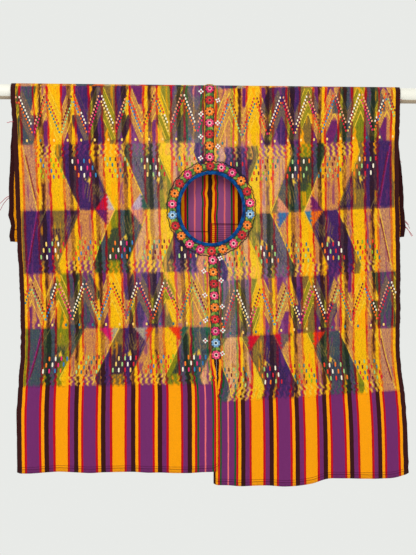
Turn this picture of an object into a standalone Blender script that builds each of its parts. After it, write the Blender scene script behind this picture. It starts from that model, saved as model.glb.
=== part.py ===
# A huipil blouse of two hand-woven panels, hung front side out over a round pole.
# X runs along the pole, to the right as seen from the front. Y runs from front to back and Z up.
# The origin is the middle of the pole, on its axis. Lengths are in metres.
from bisect import bisect_right
from collections import namedtuple
from math import atan2, cos, pi, sin

import bmesh
import bpy

# Pole
POLE_RADIUS = 0.0175
POLE_LENGTH = 1.10
POLE_SIDES = 48
POLE_EDGE = 0.0015

# Cloth
WALL = 0.0018
FIT = 0.0003
POLE_CLEARANCE = 0.0004
BEND_RADIUS = POLE_RADIUS + POLE_CLEARANCE + WALL / 2
BEND_STEPS = 12
FRONT_STEPS = 26
BACK_STEPS = 8
PANEL_COLUMNS = 16

# Where the selvages and the middle seam hang, at some drops below the pole's axis.
Section = namedtuple("Section", "drop left seam right")
FRONT_SECTIONS = (
    Section(0.00, -0.459, -0.0006, 0.438),
    Section(0.15, -0.449, 0.0012, 0.436),
    Section(0.36, -0.439, 0.0092, 0.441),
    Section(0.48, -0.432, 0.0155, 0.443),
    Section(0.60, -0.429, 0.0205, 0.444),
    Section(0.73, -0.436, 0.0250, 0.460),
    Section(0.91, -0.433, 0.0268, 0.468),
)
BACK_SECTIONS = (
    Section(0.00, -0.459, -0.0006, 0.438),
    Section(0.10, -0.462, 0.0006, 0.441),
    Section(0.24, -0.466, 0.0026, 0.456),
    Section(0.37, -0.461, 0.0042, 0.459),
)

# How far the hems hang below the pole's axis, at some shares of a panel's width from its outer selvage.
Hem = namedtuple("Hem", "share front back")
LEFT_HEM = (
    Hem(0.00, 0.881, 0.347),
    Hem(0.22, 0.876, 0.349),
    Hem(0.45, 0.8765, 0.351),
    Hem(0.60, 0.8745, 0.353),
    Hem(0.80, 0.876, 0.355),
    Hem(1.00, 0.8725, 0.356),
)
RIGHT_HEM = (
    Hem(0.00, 0.873, 0.326),
    Hem(0.10, 0.883, 0.331),
    Hem(0.38, 0.884, 0.340),
    Hem(0.50, 0.8975, 0.345),
    Hem(0.63, 0.903, 0.349),
    Hem(0.80, 0.9035, 0.353),
    Hem(1.00, 0.904, 0.356),
)

# Hanging waves, deepest at the hem, and still beside the neck and along the seam's embroidery.
WAVE_DEPTH = 0.0065
WAVE_LENGTH = 0.155
WAVE_LEAN = 0.10
BACK_WAVE_DEPTH = 0.0020
BACK_WAVE_LENGTH = 0.217
WAVE_START = 0.12
WAVE_FULL = 0.88
CALM_HALF_WIDTH = 0.035
CALM_FADE = 0.14
NECK_CALM_HALF_WIDTH = 0.120

# The slit below the embroidery, where the left panel's edge lies over the right one's.
SLIT_TOP = 0.618
SLIT_PARTED = 0.655
SLIT_LAPPED = 0.710
LAP = 0.0093
LAP_DEPTH = 0.0030
LAP_FADE = 0.060

# Neck, an upright ellipse in the front layer, bound with folded tape.
NECK_X = 0.0058
NECK_DROP = 0.2672
NECK_HALF_WIDTH = 0.0736
NECK_HALF_HEIGHT = 0.0811
NECK_SIDES = 96
BINDING_WALL = 0.0009
BINDING_FLAP = 0.0050
BINDING_ROLL = 0.0012

# Embroidered flowers round the neck and down the seam
NECK_FLOWERS = 22
STEPS_PER_FLOWER = 6
BAND_STEPS_ACROSS = 4
BAND_INNER = BINDING_FLAP + BINDING_WALL + FIT
BAND_OUTER = 0.0272
UPPER_PITCH = 0.0262
LOWER_PITCH = 0.0272
FLOWER_RADIUS = 0.0098
STITCH_BASE = 0.0008
FLOWER_RISE = 0.0012
FLOWER_EYE = 0.0028
SCALLOP = 0.0022
SEAM_BAND_WIDTH = 0.0230
SEAM_FLOWERS_ABOVE = 9
SEAM_FLOWERS_BELOW = 9
SEAM_STEPS_ACROSS = 4
SEAM_STEPS_PER_FLOWER = 6

FINISHES = {
    "pole_paint": ((0.86, 0.85, 0.80), 0.45),
    "panel_cloth": ((0.34, 0.10, 0.22), 0.90),
    "binding_velvet": ((0.01, 0.10, 0.42), 0.85),
    "flower_stitching": ((0.62, 0.07, 0.12), 0.60),
}


def smooth_step(low, high, value):
    share = min(1.0, max(0.0, (value - low) / (high - low)))
    return share * share * (3 - 2 * share)


def read_table(table, at_name, column, at):
    """A smooth curve through one column of a table, read at a place in another column."""
    places = [getattr(row, at_name) for row in table]
    values = [getattr(row, column) for row in table]
    at = min(places[-1], max(places[0], at))
    i = min(len(places) - 2, max(0, bisect_right(places, at) - 1))

    def slope(k):
        before, after = max(0, k - 1), min(len(places) - 1, k + 1)
        return (values[after] - values[before]) / (places[after] - places[before])

    span = places[i + 1] - places[i]
    t = (at - places[i]) / span
    start = values[i] * (1 + 2 * t) * (1 - t) ** 2 + slope(i) * span * t * (1 - t) ** 2
    end = values[i + 1] * t * t * (3 - 2 * t) - slope(i + 1) * span * t * t * (1 - t)
    return start + end


def front_wave(x, drop):
    """How far the front layer stands out from the plane that it hangs in."""
    depth = WAVE_DEPTH * smooth_step(WAVE_START, WAVE_FULL, drop) ** 1.5
    seam = read_table(FRONT_SECTIONS, "drop", "seam", drop)
    calm_width = CALM_HALF_WIDTH + (NECK_CALM_HALF_WIDTH - CALM_HALF_WIDTH) * (
        1 - smooth_step(0.40, 0.52, drop)
    )
    if drop > SLIT_TOP:
        calm_width *= 1 - smooth_step(SLIT_TOP, SLIT_LAPPED, drop)
    stir = smooth_step(calm_width, calm_width + CALM_FADE, abs(x - seam))
    phase = 2 * pi * (x + WAVE_LEAN * (drop - WAVE_FULL)) / WAVE_LENGTH
    return depth * stir * (0.7 * sin(phase) + 0.3 * sin(0.47 * phase + 1.1))


def back_wave(x, drop):
    depth = BACK_WAVE_DEPTH * smooth_step(0.05, 0.36, drop)
    return depth * sin(2 * pi * x / BACK_WAVE_LENGTH + 0.6)


def lap_inwards(side, from_edge, drop):
    """How far the right panel's edge tucks in behind the left one's, below the seam's end."""
    if side != "right":
        return 0.0
    parted = smooth_step(SLIT_TOP, SLIT_PARTED, drop)
    return LAP_DEPTH * parted * (1 - smooth_step(0.0, LAP_FADE, from_edge - LAP))


def inner_edge(side, drop):
    """Where a panel's inner edge lies on the front."""
    seam = read_table(FRONT_SECTIONS, "drop", "seam", drop)
    lap = LAP * smooth_step(SLIT_PARTED, SLIT_LAPPED, drop)
    return seam - FIT / 2 if side == "left" else seam + FIT / 2 - lap


def panel_point(side, share, travel, out=0.0):
    """A point of a panel. share is 0 at its outer selvage and 1 at its inner edge, and travel is
    the distance along the cloth from the pole's front, negative down the front leg. out moves the
    point off the middle of the wall, away from the pole."""
    outer = "left" if side == "left" else "right"
    bend = pi * BEND_RADIUS
    if travel <= 0:
        drop = -travel
        edge = read_table(FRONT_SECTIONS, "drop", outer, drop)
        inner = inner_edge(side, drop)
        x = edge + (inner - edge) * share
        y = -BEND_RADIUS - front_wave(x, drop) + lap_inwards(side, abs(x - inner), drop)
        return x, y - out, -drop
    if travel < bend:
        angle = travel / BEND_RADIUS
        top = FRONT_SECTIONS[0]
        edge = getattr(top, outer)
        inner = top.seam - FIT / 2 if side == "left" else top.seam + FIT / 2
        radius = BEND_RADIUS + out
        return edge + (inner - edge) * share, -radius * cos(angle), radius * sin(angle)
    drop = travel - bend
    edge = read_table(BACK_SECTIONS, "drop", outer, drop)
    seam = read_table(BACK_SECTIONS, "drop", "seam", drop)
    inner = seam - FIT / 2 if side == "left" else seam + FIT / 2
    x = edge + (inner - edge) * share
    return x, BEND_RADIUS + back_wave(x, drop) + out, -drop


def seam_point(travel, across, out):
    """A point over the middle seam, that far to the right of it and out from the cloth."""
    bend = pi * BEND_RADIUS
    if travel <= 0:
        x = read_table(FRONT_SECTIONS, "drop", "seam", -travel)
        return x + across, -BEND_RADIUS - out, travel
    if travel < bend:
        angle = travel / BEND_RADIUS
        radius = BEND_RADIUS + out
        return FRONT_SECTIONS[0].seam + across, -radius * cos(angle), radius * sin(angle)
    drop = travel - bend
    x = read_table(BACK_SECTIONS, "drop", "seam", drop)
    return x + across, BEND_RADIUS + out, -drop


def neck_point(turn, beyond, out):
    """A point near the neck: turn is the angle from its top, clockwise from the front, and beyond
    is the distance outside the cut edge."""
    x = NECK_X + (NECK_HALF_WIDTH + beyond) * sin(turn)
    z = -NECK_DROP + (NECK_HALF_HEIGHT + beyond) * cos(turn)
    return x, -BEND_RADIUS - out, z


def flower_rise(distance):
    """The height of an embroidered flower over its ground, that far from its middle."""
    petals = 1 - smooth_step(FLOWER_RADIUS * 0.62, FLOWER_RADIUS, distance)
    eye = 1 - smooth_step(0.0, FLOWER_EYE, distance)
    return FLOWER_RISE * petals * (1 - 0.6 * eye)


def add_material(obj, finish):
    colour, roughness = FINISHES[finish]
    material = bpy.data.materials.get(finish) or bpy.data.materials.new(finish)
    material.use_nodes = True
    shader = material.node_tree.nodes["Principled BSDF"]
    shader.inputs["Base Color"].default_value = (*colour, 1)
    shader.inputs["Roughness"].default_value = roughness
    shader.inputs["Metallic"].default_value = 0.0
    material.diffuse_color = (*colour, 1)
    obj.data.materials.append(material)


def add_object(name, bm, finish, collection):
    bmesh.ops.recalc_face_normals(bm, faces=bm.faces)
    mesh = bpy.data.meshes.new(name)
    bm.to_mesh(mesh)
    bm.free()
    obj = bpy.data.objects.new(name, mesh)
    collection.objects.link(obj)
    mesh.shade_smooth()
    mesh.set_sharp_from_angle(angle=0.8)
    add_material(obj, finish)
    return obj


def grid_sheet(columns, rows, place, ring=False):
    """An open sheet of quads. place gives the point for a share across and a row's number."""
    bm = bmesh.new()
    bmesh.ops.create_grid(bm, x_segments=columns, y_segments=rows, size=0.5)
    if ring:
        ends = [v for v in bm.verts if abs(v.co.y - 0.5) < 1e-6]
        starts = {round(v.co.x, 5): v for v in bm.verts if abs(v.co.y + 0.5) < 1e-6}
        pairs = {v: starts[round(v.co.x, 5)] for v in ends}
        bmesh.ops.weld_verts(bm, targetmap=pairs)
    for v in bm.verts:
        row = round((v.co.y + 0.5) * rows)
        v.co = place(v.co.x + 0.5, row)
    return bm


def raise_sheet(bm, lift):
    """Makes an open sheet a closed wall. Its outer copy is moved by what lift gives for a point."""
    grown = bmesh.ops.extrude_face_region(bm, geom=bm.faces[:], use_keep_orig=True)
    for v in grown["geom"]:
        if isinstance(v, bmesh.types.BMVert):
            v.co = lift(v.co)
    return bm


def add_pole(collection):
    bpy.ops.mesh.primitive_cylinder_add(
        vertices=POLE_SIDES, radius=POLE_RADIUS, depth=POLE_LENGTH, rotation=(0, pi / 2, 0)
    )
    pole = bpy.context.object
    pole.name = "pole"
    for old in list(pole.users_collection):
        old.objects.unlink(pole)
    collection.objects.link(pole)
    rim = pole.modifiers.new("rounded ends", "BEVEL")
    rim.width = POLE_EDGE
    rim.segments = 2
    rim.limit_method = "ANGLE"
    pole.data.shade_smooth()
    pole.data.set_sharp_from_angle(angle=0.8)
    add_material(pole, "pole_paint")


def travels(share, hem):
    """The places along the cloth of a panel's rows, from its front hem to its back hem."""
    front = read_table(hem, "share", "front", share)
    back = read_table(hem, "share", "back", share)
    bend = pi * BEND_RADIUS
    down = [-front * (1 - i / FRONT_STEPS) for i in range(FRONT_STEPS)]
    over = [bend * i / BEND_STEPS for i in range(BEND_STEPS)]
    behind = [bend + back * i / BACK_STEPS for i in range(BACK_STEPS + 1)]
    return down + over + behind


def add_neck_cutter(collection):
    bm = bmesh.new()
    bmesh.ops.create_cone(
        bm, cap_ends=True, segments=NECK_SIDES, radius1=1.0, radius2=1.0, depth=1.0
    )
    for v in bm.verts:
        turn = atan2(v.co.x, v.co.y)
        near = BEND_RADIUS + (0.010 if v.co.z > 0 else -0.010)
        v.co = neck_point(turn, 0.0, near - BEND_RADIUS)
    cutter = add_object("neck_cutter", bm, "panel_cloth", collection)
    cutter.hide_render = True
    cutter.display_type = "WIRE"
    return cutter


def add_panel(side, hem, cutter, collection):
    rows = FRONT_STEPS + BEND_STEPS + BACK_STEPS

    def place(share, row):
        return panel_point(side, share, travels(share, hem)[row])

    sheet = grid_sheet(PANEL_COLUMNS, rows, place)
    panel = add_object("panel_" + side, sheet, "panel_cloth", collection)
    wall = panel.modifiers.new("wall", "SOLIDIFY")
    wall.thickness = WALL
    wall.offset = 0.0
    cut = panel.modifiers.new("neck", "BOOLEAN")
    cut.object = cutter
    cut.operation = "DIFFERENCE"


def add_neck_binding(collection):
    """Tape folded over the cut edge: a channel whose two flaps lie 0.3 mm off the cloth."""
    stand = WALL / 2 + FIT
    profile = (
        (BINDING_FLAP, stand),
        (0.0, stand),
        (-BINDING_ROLL * 0.75, stand * 0.65),
        (-BINDING_ROLL, 0.0),
        (-BINDING_ROLL * 0.75, -stand * 0.65),
        (0.0, -stand),
        (BINDING_FLAP, -stand),
    )

    def place(share, row):
        beyond, out = profile[round(share * (len(profile) - 1))]
        return neck_point(2 * pi * row / NECK_SIDES, beyond, out)

    channel = grid_sheet(len(profile) - 1, NECK_SIDES, place, ring=True)
    binding = add_object("neck_binding", channel, "binding_velvet", collection)
    wall = binding.modifiers.new("tape", "SOLIDIFY")
    wall.thickness = BINDING_WALL
    wall.offset = binding_side(binding)


def binding_side(binding):
    """1 or -1, whichever makes the tape's wall grow away from the cloth inside it."""
    front = max(binding.data.polygons, key=lambda face: -face.center.y)
    return 1.0 if front.normal.y < 0 else -1.0


def add_neck_flowers(collection):
    """The stitched band round the neck, raised into a ring of flowers with a scalloped rim."""
    stand = WALL / 2 + FIT
    steps = NECK_FLOWERS * STEPS_PER_FLOWER
    middle = (BAND_INNER + BAND_OUTER) / 2

    def place(share, row):
        turn = 2 * pi * row / steps
        swell = SCALLOP * (0.5 + 0.5 * cos(NECK_FLOWERS * turn))
        outer = BAND_OUTER - SCALLOP + swell
        return neck_point(turn, BAND_INNER + (outer - BAND_INNER) * share, stand)

    centres = [neck_point(2 * pi * k / NECK_FLOWERS, middle, 0) for k in range(NECK_FLOWERS)]

    def lift(co):
        nearest = min(((co.x - c[0]) ** 2 + (co.z - c[2]) ** 2) ** 0.5 for c in centres)
        return co.x, co.y - STITCH_BASE - flower_rise(nearest), co.z

    band = raise_sheet(grid_sheet(BAND_STEPS_ACROSS, steps, place, ring=True), lift)
    add_object("neck_flower_band", band, "flower_stitching", collection)


def strip_length(pitch, flowers):
    return 2 * FLOWER_RADIUS + pitch * (flowers - 1)


def add_seam_flowers(name, start, pitch, flowers, collection):
    """A strip of stitched flowers over the middle seam, from a place on the front upwards."""
    stand = WALL / 2 + FIT
    bend = pi * BEND_RADIUS
    centres = [start + FLOWER_RADIUS + pitch * k for k in range(flowers)]
    end = start + strip_length(pitch, flowers)
    step = pitch / SEAM_STEPS_PER_FLOWER
    stops = []
    while start < min(end, 0.0) - step / 2:
        stops.append(start)
        start += step
    if end > 0:
        stops += [bend * i / BEND_STEPS for i in range(BEND_STEPS + 1)]
        stops.append(end)
    else:
        stops.append(end)

    def half_width(travel):
        nearest = min(abs(travel - centre) for centre in centres)
        waist = smooth_step(FLOWER_RADIUS * 0.6, pitch / 2, nearest)
        return SEAM_BAND_WIDTH / 2 - SCALLOP * waist

    def place(share, row):
        travel = stops[row]
        return seam_point(travel, (2 * share - 1) * half_width(travel), stand)

    sheet = grid_sheet(SEAM_STEPS_ACROSS, len(stops) - 1, place)
    travel_of = {
        tuple(round(c, 5) for c in place(i / SEAM_STEPS_ACROSS, row)): (
            stops[row],
            (2 * i / SEAM_STEPS_ACROSS - 1) * half_width(stops[row]),
        )
        for i in range(SEAM_STEPS_ACROSS + 1)
        for row in range(len(stops))
    }

    def lift(co):
        travel, across = travel_of[tuple(round(c, 5) for c in co)]
        nearest = min(((travel - centre) ** 2 + across**2) ** 0.5 for centre in centres)
        return seam_point(travel, across, stand + STITCH_BASE + flower_rise(nearest))

    add_object(name, raise_sheet(sheet, lift), "flower_stitching", collection)


def main():
    for obj in list(bpy.data.objects):
        bpy.data.objects.remove(obj)
    blouse = bpy.data.collections.new("huipil_blouse")
    helpers = bpy.data.collections.new("cutters")
    bpy.context.scene.collection.children.link(blouse)
    bpy.context.scene.collection.children.link(helpers)

    add_pole(blouse)
    cutter = add_neck_cutter(helpers)
    add_panel("left", LEFT_HEM, cutter, blouse)
    add_panel("right", RIGHT_HEM, cutter, blouse)
    add_neck_binding(blouse)
    add_neck_flowers(blouse)

    rim = BAND_OUTER + FIT
    above = -NECK_DROP + NECK_HALF_HEIGHT + rim
    below = -NECK_DROP - NECK_HALF_HEIGHT - rim
    add_seam_flowers("seam_flowers_upper", above, UPPER_PITCH, SEAM_FLOWERS_ABOVE, blouse)
    lowest = below - strip_length(LOWER_PITCH, SEAM_FLOWERS_BELOW)
    add_seam_flowers("seam_flowers_lower", lowest, LOWER_PITCH, SEAM_FLOWERS_BELOW, blouse)


main()
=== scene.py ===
from math import cos, hypot, pi, radians, sin

import bmesh
import bpy
import numpy as np
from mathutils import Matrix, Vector


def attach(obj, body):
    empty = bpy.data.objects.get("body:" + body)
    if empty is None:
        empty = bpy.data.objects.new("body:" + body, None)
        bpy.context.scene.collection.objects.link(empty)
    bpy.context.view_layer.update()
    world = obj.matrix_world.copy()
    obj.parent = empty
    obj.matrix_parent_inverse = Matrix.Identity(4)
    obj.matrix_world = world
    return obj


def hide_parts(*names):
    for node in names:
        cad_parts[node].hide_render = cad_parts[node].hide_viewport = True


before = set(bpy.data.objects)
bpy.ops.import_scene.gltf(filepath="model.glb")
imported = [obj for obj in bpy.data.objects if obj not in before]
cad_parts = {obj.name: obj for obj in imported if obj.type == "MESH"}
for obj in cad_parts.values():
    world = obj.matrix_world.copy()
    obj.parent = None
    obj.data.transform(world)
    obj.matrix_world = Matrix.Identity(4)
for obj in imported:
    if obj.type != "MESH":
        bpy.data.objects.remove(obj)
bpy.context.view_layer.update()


# Camera, light and stage

view = {
    "distance": 2.60,  # from the pole's axis, in metres
    "drop": 0.4255,  # how far below the pole it looks
    "roll": 0.6,  # degrees; the pole falls slightly to the right
    "metresPerPixel": 0.0023,  # at the front layer
    "rowsOfPixels": 555,
    "clothPlane": -0.019,
}


def setCamera():
    tall = view["rowsOfPixels"] * view["metresPerPixel"]
    camera = bpy.data.objects.new("camera", bpy.data.cameras.new("camera"))
    camera.data.lens = 36 * (view["distance"] + view["clothPlane"]) / tall
    camera.location = (0, -view["distance"], -view["drop"])
    camera.rotation_euler = (pi / 2, -radians(view["roll"]), 0)
    bpy.context.scene.collection.objects.link(camera)
    bpy.context.scene.camera = camera


studio = {
    "world": (0.90, 0.915, 0.89),
    "worldStrength": 0.90,
    "floorDrop": 1.45,
    "floorSize": 3.0,
    "floorColour": (0.80, 0.80, 0.79),
    # name, place, watts, size
    "lamps": (
        ("skylight", (-1.1, -2.6, 1.3), 52, 1.6),
        ("fill", (1.9, -2.2, 0.2), 14, 2.0),
        ("behind", (0.6, 2.8, 1.2), 26, 2.0),
    ),
    "lookAt": (0, 0, -0.42),
}


def setStudio():
    scene = bpy.context.scene
    scene.view_settings.view_transform = "Standard"
    scene.view_settings.look = "None"
    world = bpy.data.worlds.new("pale studio")
    world.use_nodes = True
    sky = world.node_tree.nodes["Background"]
    sky.inputs["Color"].default_value = (*studio["world"], 1)
    sky.inputs["Strength"].default_value = studio["worldStrength"]
    scene.world = world
    for name, place, watts, size in studio["lamps"]:
        lamp = bpy.data.lights.new(name, "AREA")
        lamp.energy = watts
        lamp.size = size
        lampObject = bpy.data.objects.new(name, lamp)
        lampObject.location = place
        aim = Vector(studio["lookAt"]) - Vector(place)
        lampObject.rotation_euler = aim.to_track_quat("-Z", "Y").to_euler()
        scene.collection.objects.link(lampObject)
    bpy.ops.mesh.primitive_plane_add(size=studio["floorSize"])
    floor = bpy.context.object
    floor.name = "studioFloor"
    for corner in floor.data.vertices:
        corner.co.z = -studio["floorDrop"]
    finish = Finish("floorPaper", roughness=0.9)
    finish.shade("Base Color", (*studio["floorColour"], 1))
    finish.wear(floor)


# Shader maths: a Wire is a socket, and sums on it become Math nodes

class Wire:
    def __init__(self, tree, socket):
        self.tree = tree
        self.socket = socket

    def do(self, operation, *terms):
        node = self.tree.nodes.new("ShaderNodeMath")
        node.operation = operation
        for slot, term in zip(node.inputs, terms):
            if isinstance(term, Wire):
                self.tree.links.new(term.socket, slot)
            else:
                slot.default_value = term
        return Wire(self.tree, node.outputs[0])

    def __add__(self, other):
        return self.do("ADD", self, other)

    __radd__ = __add__

    def __sub__(self, other):
        return self.do("SUBTRACT", self, other)

    def __rsub__(self, other):
        return self.do("SUBTRACT", other, self)

    def __mul__(self, other):
        return self.do("MULTIPLY", self, other)

    __rmul__ = __mul__

    def __truediv__(self, other):
        return self.do("DIVIDE", self, other)

    def __rtruediv__(self, other):
        return self.do("DIVIDE", other, self)

    def __mod__(self, other):
        return self.do("FLOORED_MODULO", self, other)

    def __rmod__(self, other):
        return self.do("FLOORED_MODULO", other, self)

    def __abs__(self):
        return self.do("ABSOLUTE", self)

    def __gt__(self, other):
        return self.do("GREATER_THAN", self, other)

    def __lt__(self, other):
        return self.do("LESS_THAN", self, other)

    def sine(self):
        return self.do("SINE", self)

    def clip(self):
        return self.do("MAXIMUM", self.do("MINIMUM", self, 1.0), 0.0)


class Finish:
    def __init__(self, name, roughness=0.8, **steady):
        self.material = bpy.data.materials.new(name)
        self.material.use_nodes = True
        self.tree = self.material.node_tree
        self.shader = self.tree.nodes["Principled BSDF"]
        self.shader.inputs["Roughness"].default_value = roughness
        for socketName, value in steady.items():
            self.shader.inputs[socketName.replace("_", " ")].default_value = value

    def node(self, kind, settings=None, values=None, out=0):
        made = self.tree.nodes.new(kind)
        for name, value in (settings or {}).items():
            if name == "stops":
                self.setStops(made.color_ramp, value)
            elif name == "interpolation" and kind == "ShaderNodeValToRGB":
                made.color_ramp.interpolation = value
            else:
                setattr(made, name, value)
        for name, value in (values or {}).items():
            self.feed(made.inputs[name], value)
        return Wire(self.tree, made.outputs[out])

    def setStops(self, ramp, stops):
        for place, colour in stops[2:]:
            ramp.elements.new(place)
        for element, (place, colour) in zip(ramp.elements, stops):
            element.position = place
        for element, (place, colour) in zip(ramp.elements, stops):
            element.color = colour

    def feed(self, socket, value):
        if isinstance(value, Wire):
            self.tree.links.new(value.socket, socket)
        else:
            socket.default_value = value

    def shade(self, socketName, value):
        self.feed(self.shader.inputs[socketName], value)

    def mix(self, share, first, second, blend="MIX"):
        # the colour sockets of a Mix node are its seventh and eighth
        settings = {"data_type": "RGBA", "blend_type": blend}
        return self.node("ShaderNodeMix", settings, {0: share, 6: first, 7: second}, out=2)

    def ease(self, value, low, high):
        return self.node(
            "ShaderNodeMapRange",
            {"interpolation_type": "SMOOTHSTEP"},
            {"Value": value, "From Min": low, "From Max": high},
        )

    def attribute(self, name, out=0):
        return self.node("ShaderNodeAttribute", {"attribute_name": name}, out=out)

    def split(self, vector):
        x = self.node("ShaderNodeSeparateXYZ", None, {"Vector": vector})
        return x, self.output(x, 1), self.output(x, 2)

    def output(self, wire, number):
        # another output of the node that a wire comes from
        return Wire(self.tree, wire.socket.node.outputs[number])

    def join(self, x, y, z=0.0):
        return self.node("ShaderNodeCombineXYZ", None, {"X": x, "Y": y, "Z": z})

    def noise(self, vector, scale, detail=2.0, roughness=0.5):
        return self.node(
            "ShaderNodeTexNoise",
            None,
            {"Vector": vector, "Scale": scale, "Detail": detail, "Roughness": roughness},
        )

    def bump(self, height, depth, strength=1.0):
        values = {"Height": height, "Distance": depth, "Strength": strength}
        self.shade("Normal", self.node("ShaderNodeBump", None, values))

    def place(self):
        # the point in the object's own coordinates
        return self.node("ShaderNodeTexCoord", out=3)

    def paint(self, colour):
        # a colour as seen on a screen, as its share of light
        values = {"Color": colour, "Gamma": 2.2}
        self.shade("Base Color", self.node("ShaderNodeGamma", None, values))

    def wear(self, piece):
        piece.data.materials.clear()
        piece.data.materials.append(self.material)


def toLight(colour):
    # a colour as seen on a screen, 0 to 255, as its share of light
    return (*((c / 255) ** 2.2 for c in colour), 1)


def toShare(colour):
    return tuple(c / 255 for c in colour)


# Shared steps for meshes

def startPiece(name, addShape, **sizes):
    bpy.ops.object.select_all(action="DESELECT")
    addShape(**sizes)
    piece = bpy.context.object
    piece.name = name
    return piece


def readAll(data, name, width=1, kind=float):
    # one value, or one row of values, for each item
    values = np.empty(len(data) * width, kind)
    data.foreach_get(name, values)
    return values.reshape(-1, width) if width > 1 else values


def cornersOf(mesh):
    return readAll(mesh.loops, "vertex_index", kind=int)


def faceSizes(mesh):
    return readAll(mesh.polygons, "loop_total", kind=int)


def sweep(name, corners, stations, places, closed):
    # rings extruded from a circle, moved to their places and closed round or at both ends
    tube = startPiece(name, bpy.ops.mesh.primitive_circle_add, vertices=corners, radius=0.001)
    bpy.ops.object.mode_set(mode="EDIT")
    bpy.ops.mesh.select_all(action="SELECT")
    for _ in range(stations - 1):
        bpy.ops.mesh.extrude_edges_move()
    bpy.ops.object.mode_set(mode="OBJECT")
    bm = bmesh.new()
    bm.from_mesh(tube.data)
    bm.verts.ensure_lookup_table()
    for v, place in zip(bm.verts, places):
        v.co = place
    first, last = bm.verts[:corners], bm.verts[-corners:]
    if closed:
        for i in range(corners):
            j = (i + 1) % corners
            bm.faces.new((last[i], last[j], first[j], first[i]))
    else:
        bm.faces.new(first)
        bm.faces.new(last)
    bmesh.ops.recalc_face_normals(bm, faces=bm.faces)
    bm.to_mesh(tube.data)
    bm.free()
    tube.data.shade_smooth()
    return tube


# The way the cloth hangs, in metres, as in the solids

pole = {"radius": 0.0175, "clearance": 0.0004}
cloth = {
    "wall": 0.0018,
    "waveDepth": 0.0065,
    "waveLength": 0.155,
    "waveLean": 0.10,
    "waveStart": 0.12,
    "waveFull": 0.88,
    "backWaveDepth": 0.0020,
    "backWaveLength": 0.217,
    "calm": 0.035,
    "calmFade": 0.14,
    "neckCalm": 0.120,
    "slitTop": 0.618,
    "slitParted": 0.655,
    "slitLapped": 0.710,
    "lap": 0.0093,
    "lapDepth": 0.0030,
    "lapFade": 0.060,
    "fit": 0.0003,
    "sewnGap": 0.00003,
}
bendRadius = pole["radius"] + pole["clearance"] + cloth["wall"] / 2
bendLength = pi * bendRadius
# drop below the pole's axis, then the left selvage, the seam and the right selvage
frontSections = (
    (0.00, -0.459, -0.0006, 0.438),
    (0.15, -0.449, 0.0012, 0.436),
    (0.36, -0.439, 0.0092, 0.441),
    (0.48, -0.432, 0.0155, 0.443),
    (0.60, -0.429, 0.0205, 0.444),
    (0.73, -0.436, 0.0250, 0.460),
    (0.91, -0.433, 0.0268, 0.468),
)
backSections = (
    (0.00, -0.459, -0.0006, 0.438),
    (0.10, -0.462, 0.0006, 0.441),
    (0.24, -0.466, 0.0026, 0.456),
    (0.37, -0.461, 0.0042, 0.459),
)
# share of the width from the outer selvage, then the front and back hem's drop
hems = {
    "left": (
        (0.00, 0.881, 0.347),
        (0.22, 0.876, 0.349),
        (0.45, 0.8765, 0.351),
        (0.60, 0.8745, 0.353),
        (0.80, 0.876, 0.355),
        (1.00, 0.8725, 0.356),
    ),
    "right": (
        (0.00, 0.873, 0.326),
        (0.10, 0.883, 0.331),
        (0.38, 0.884, 0.340),
        (0.50, 0.8975, 0.345),
        (0.63, 0.903, 0.349),
        (0.80, 0.9035, 0.353),
        (1.00, 0.904, 0.356),
    ),
}
neck = {"x": 0.0058, "drop": 0.2672, "halfWidth": 0.0736, "halfHeight": 0.0811}


def ease(low, high, value):
    share = np.clip((value - low) / (high - low), 0, 1)
    return share * share * (3 - 2 * share)


def readTable(table, column, at):
    # a smooth curve through one column, read at places in the first column
    places = np.array([row[0] for row in table])
    values = np.array([row[column] for row in table])
    last = len(places) - 1
    before = np.maximum(np.arange(last + 1) - 1, 0)
    after = np.minimum(np.arange(last + 1) + 1, last)
    slopes = (values[after] - values[before]) / (places[after] - places[before])
    at = np.clip(np.asarray(at, float), places[0], places[-1])
    i = np.clip(np.searchsorted(places, at, side="right") - 1, 0, last - 1)
    span = places[i + 1] - places[i]
    t = (at - places[i]) / span
    start = values[i] * (1 + 2 * t) * (1 - t) ** 2 + slopes[i] * span * t * (1 - t) ** 2
    end = values[i + 1] * t * t * (3 - 2 * t) - slopes[i + 1] * span * t * t * (1 - t)
    return start + end


def frontWave(x, drop):
    depth = cloth["waveDepth"] * ease(cloth["waveStart"], cloth["waveFull"], drop) ** 1.5
    seam = readTable(frontSections, 2, drop)
    calm = cloth["calm"] + (cloth["neckCalm"] - cloth["calm"]) * (1 - ease(0.40, 0.52, drop))
    calm = calm * np.where(
        drop > cloth["slitTop"], 1 - ease(cloth["slitTop"], cloth["slitLapped"], drop), 1
    )
    stir = ease(calm, calm + cloth["calmFade"], np.abs(x - seam))
    phase = 2 * pi * (x + cloth["waveLean"] * (drop - cloth["waveFull"])) / cloth["waveLength"]
    return depth * stir * (0.7 * np.sin(phase) + 0.3 * np.sin(0.47 * phase + 1.1))


def backWave(x, drop):
    depth = cloth["backWaveDepth"] * ease(0.05, 0.36, drop)
    return depth * np.sin(2 * pi * x / cloth["backWaveLength"] + 0.6)


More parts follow.
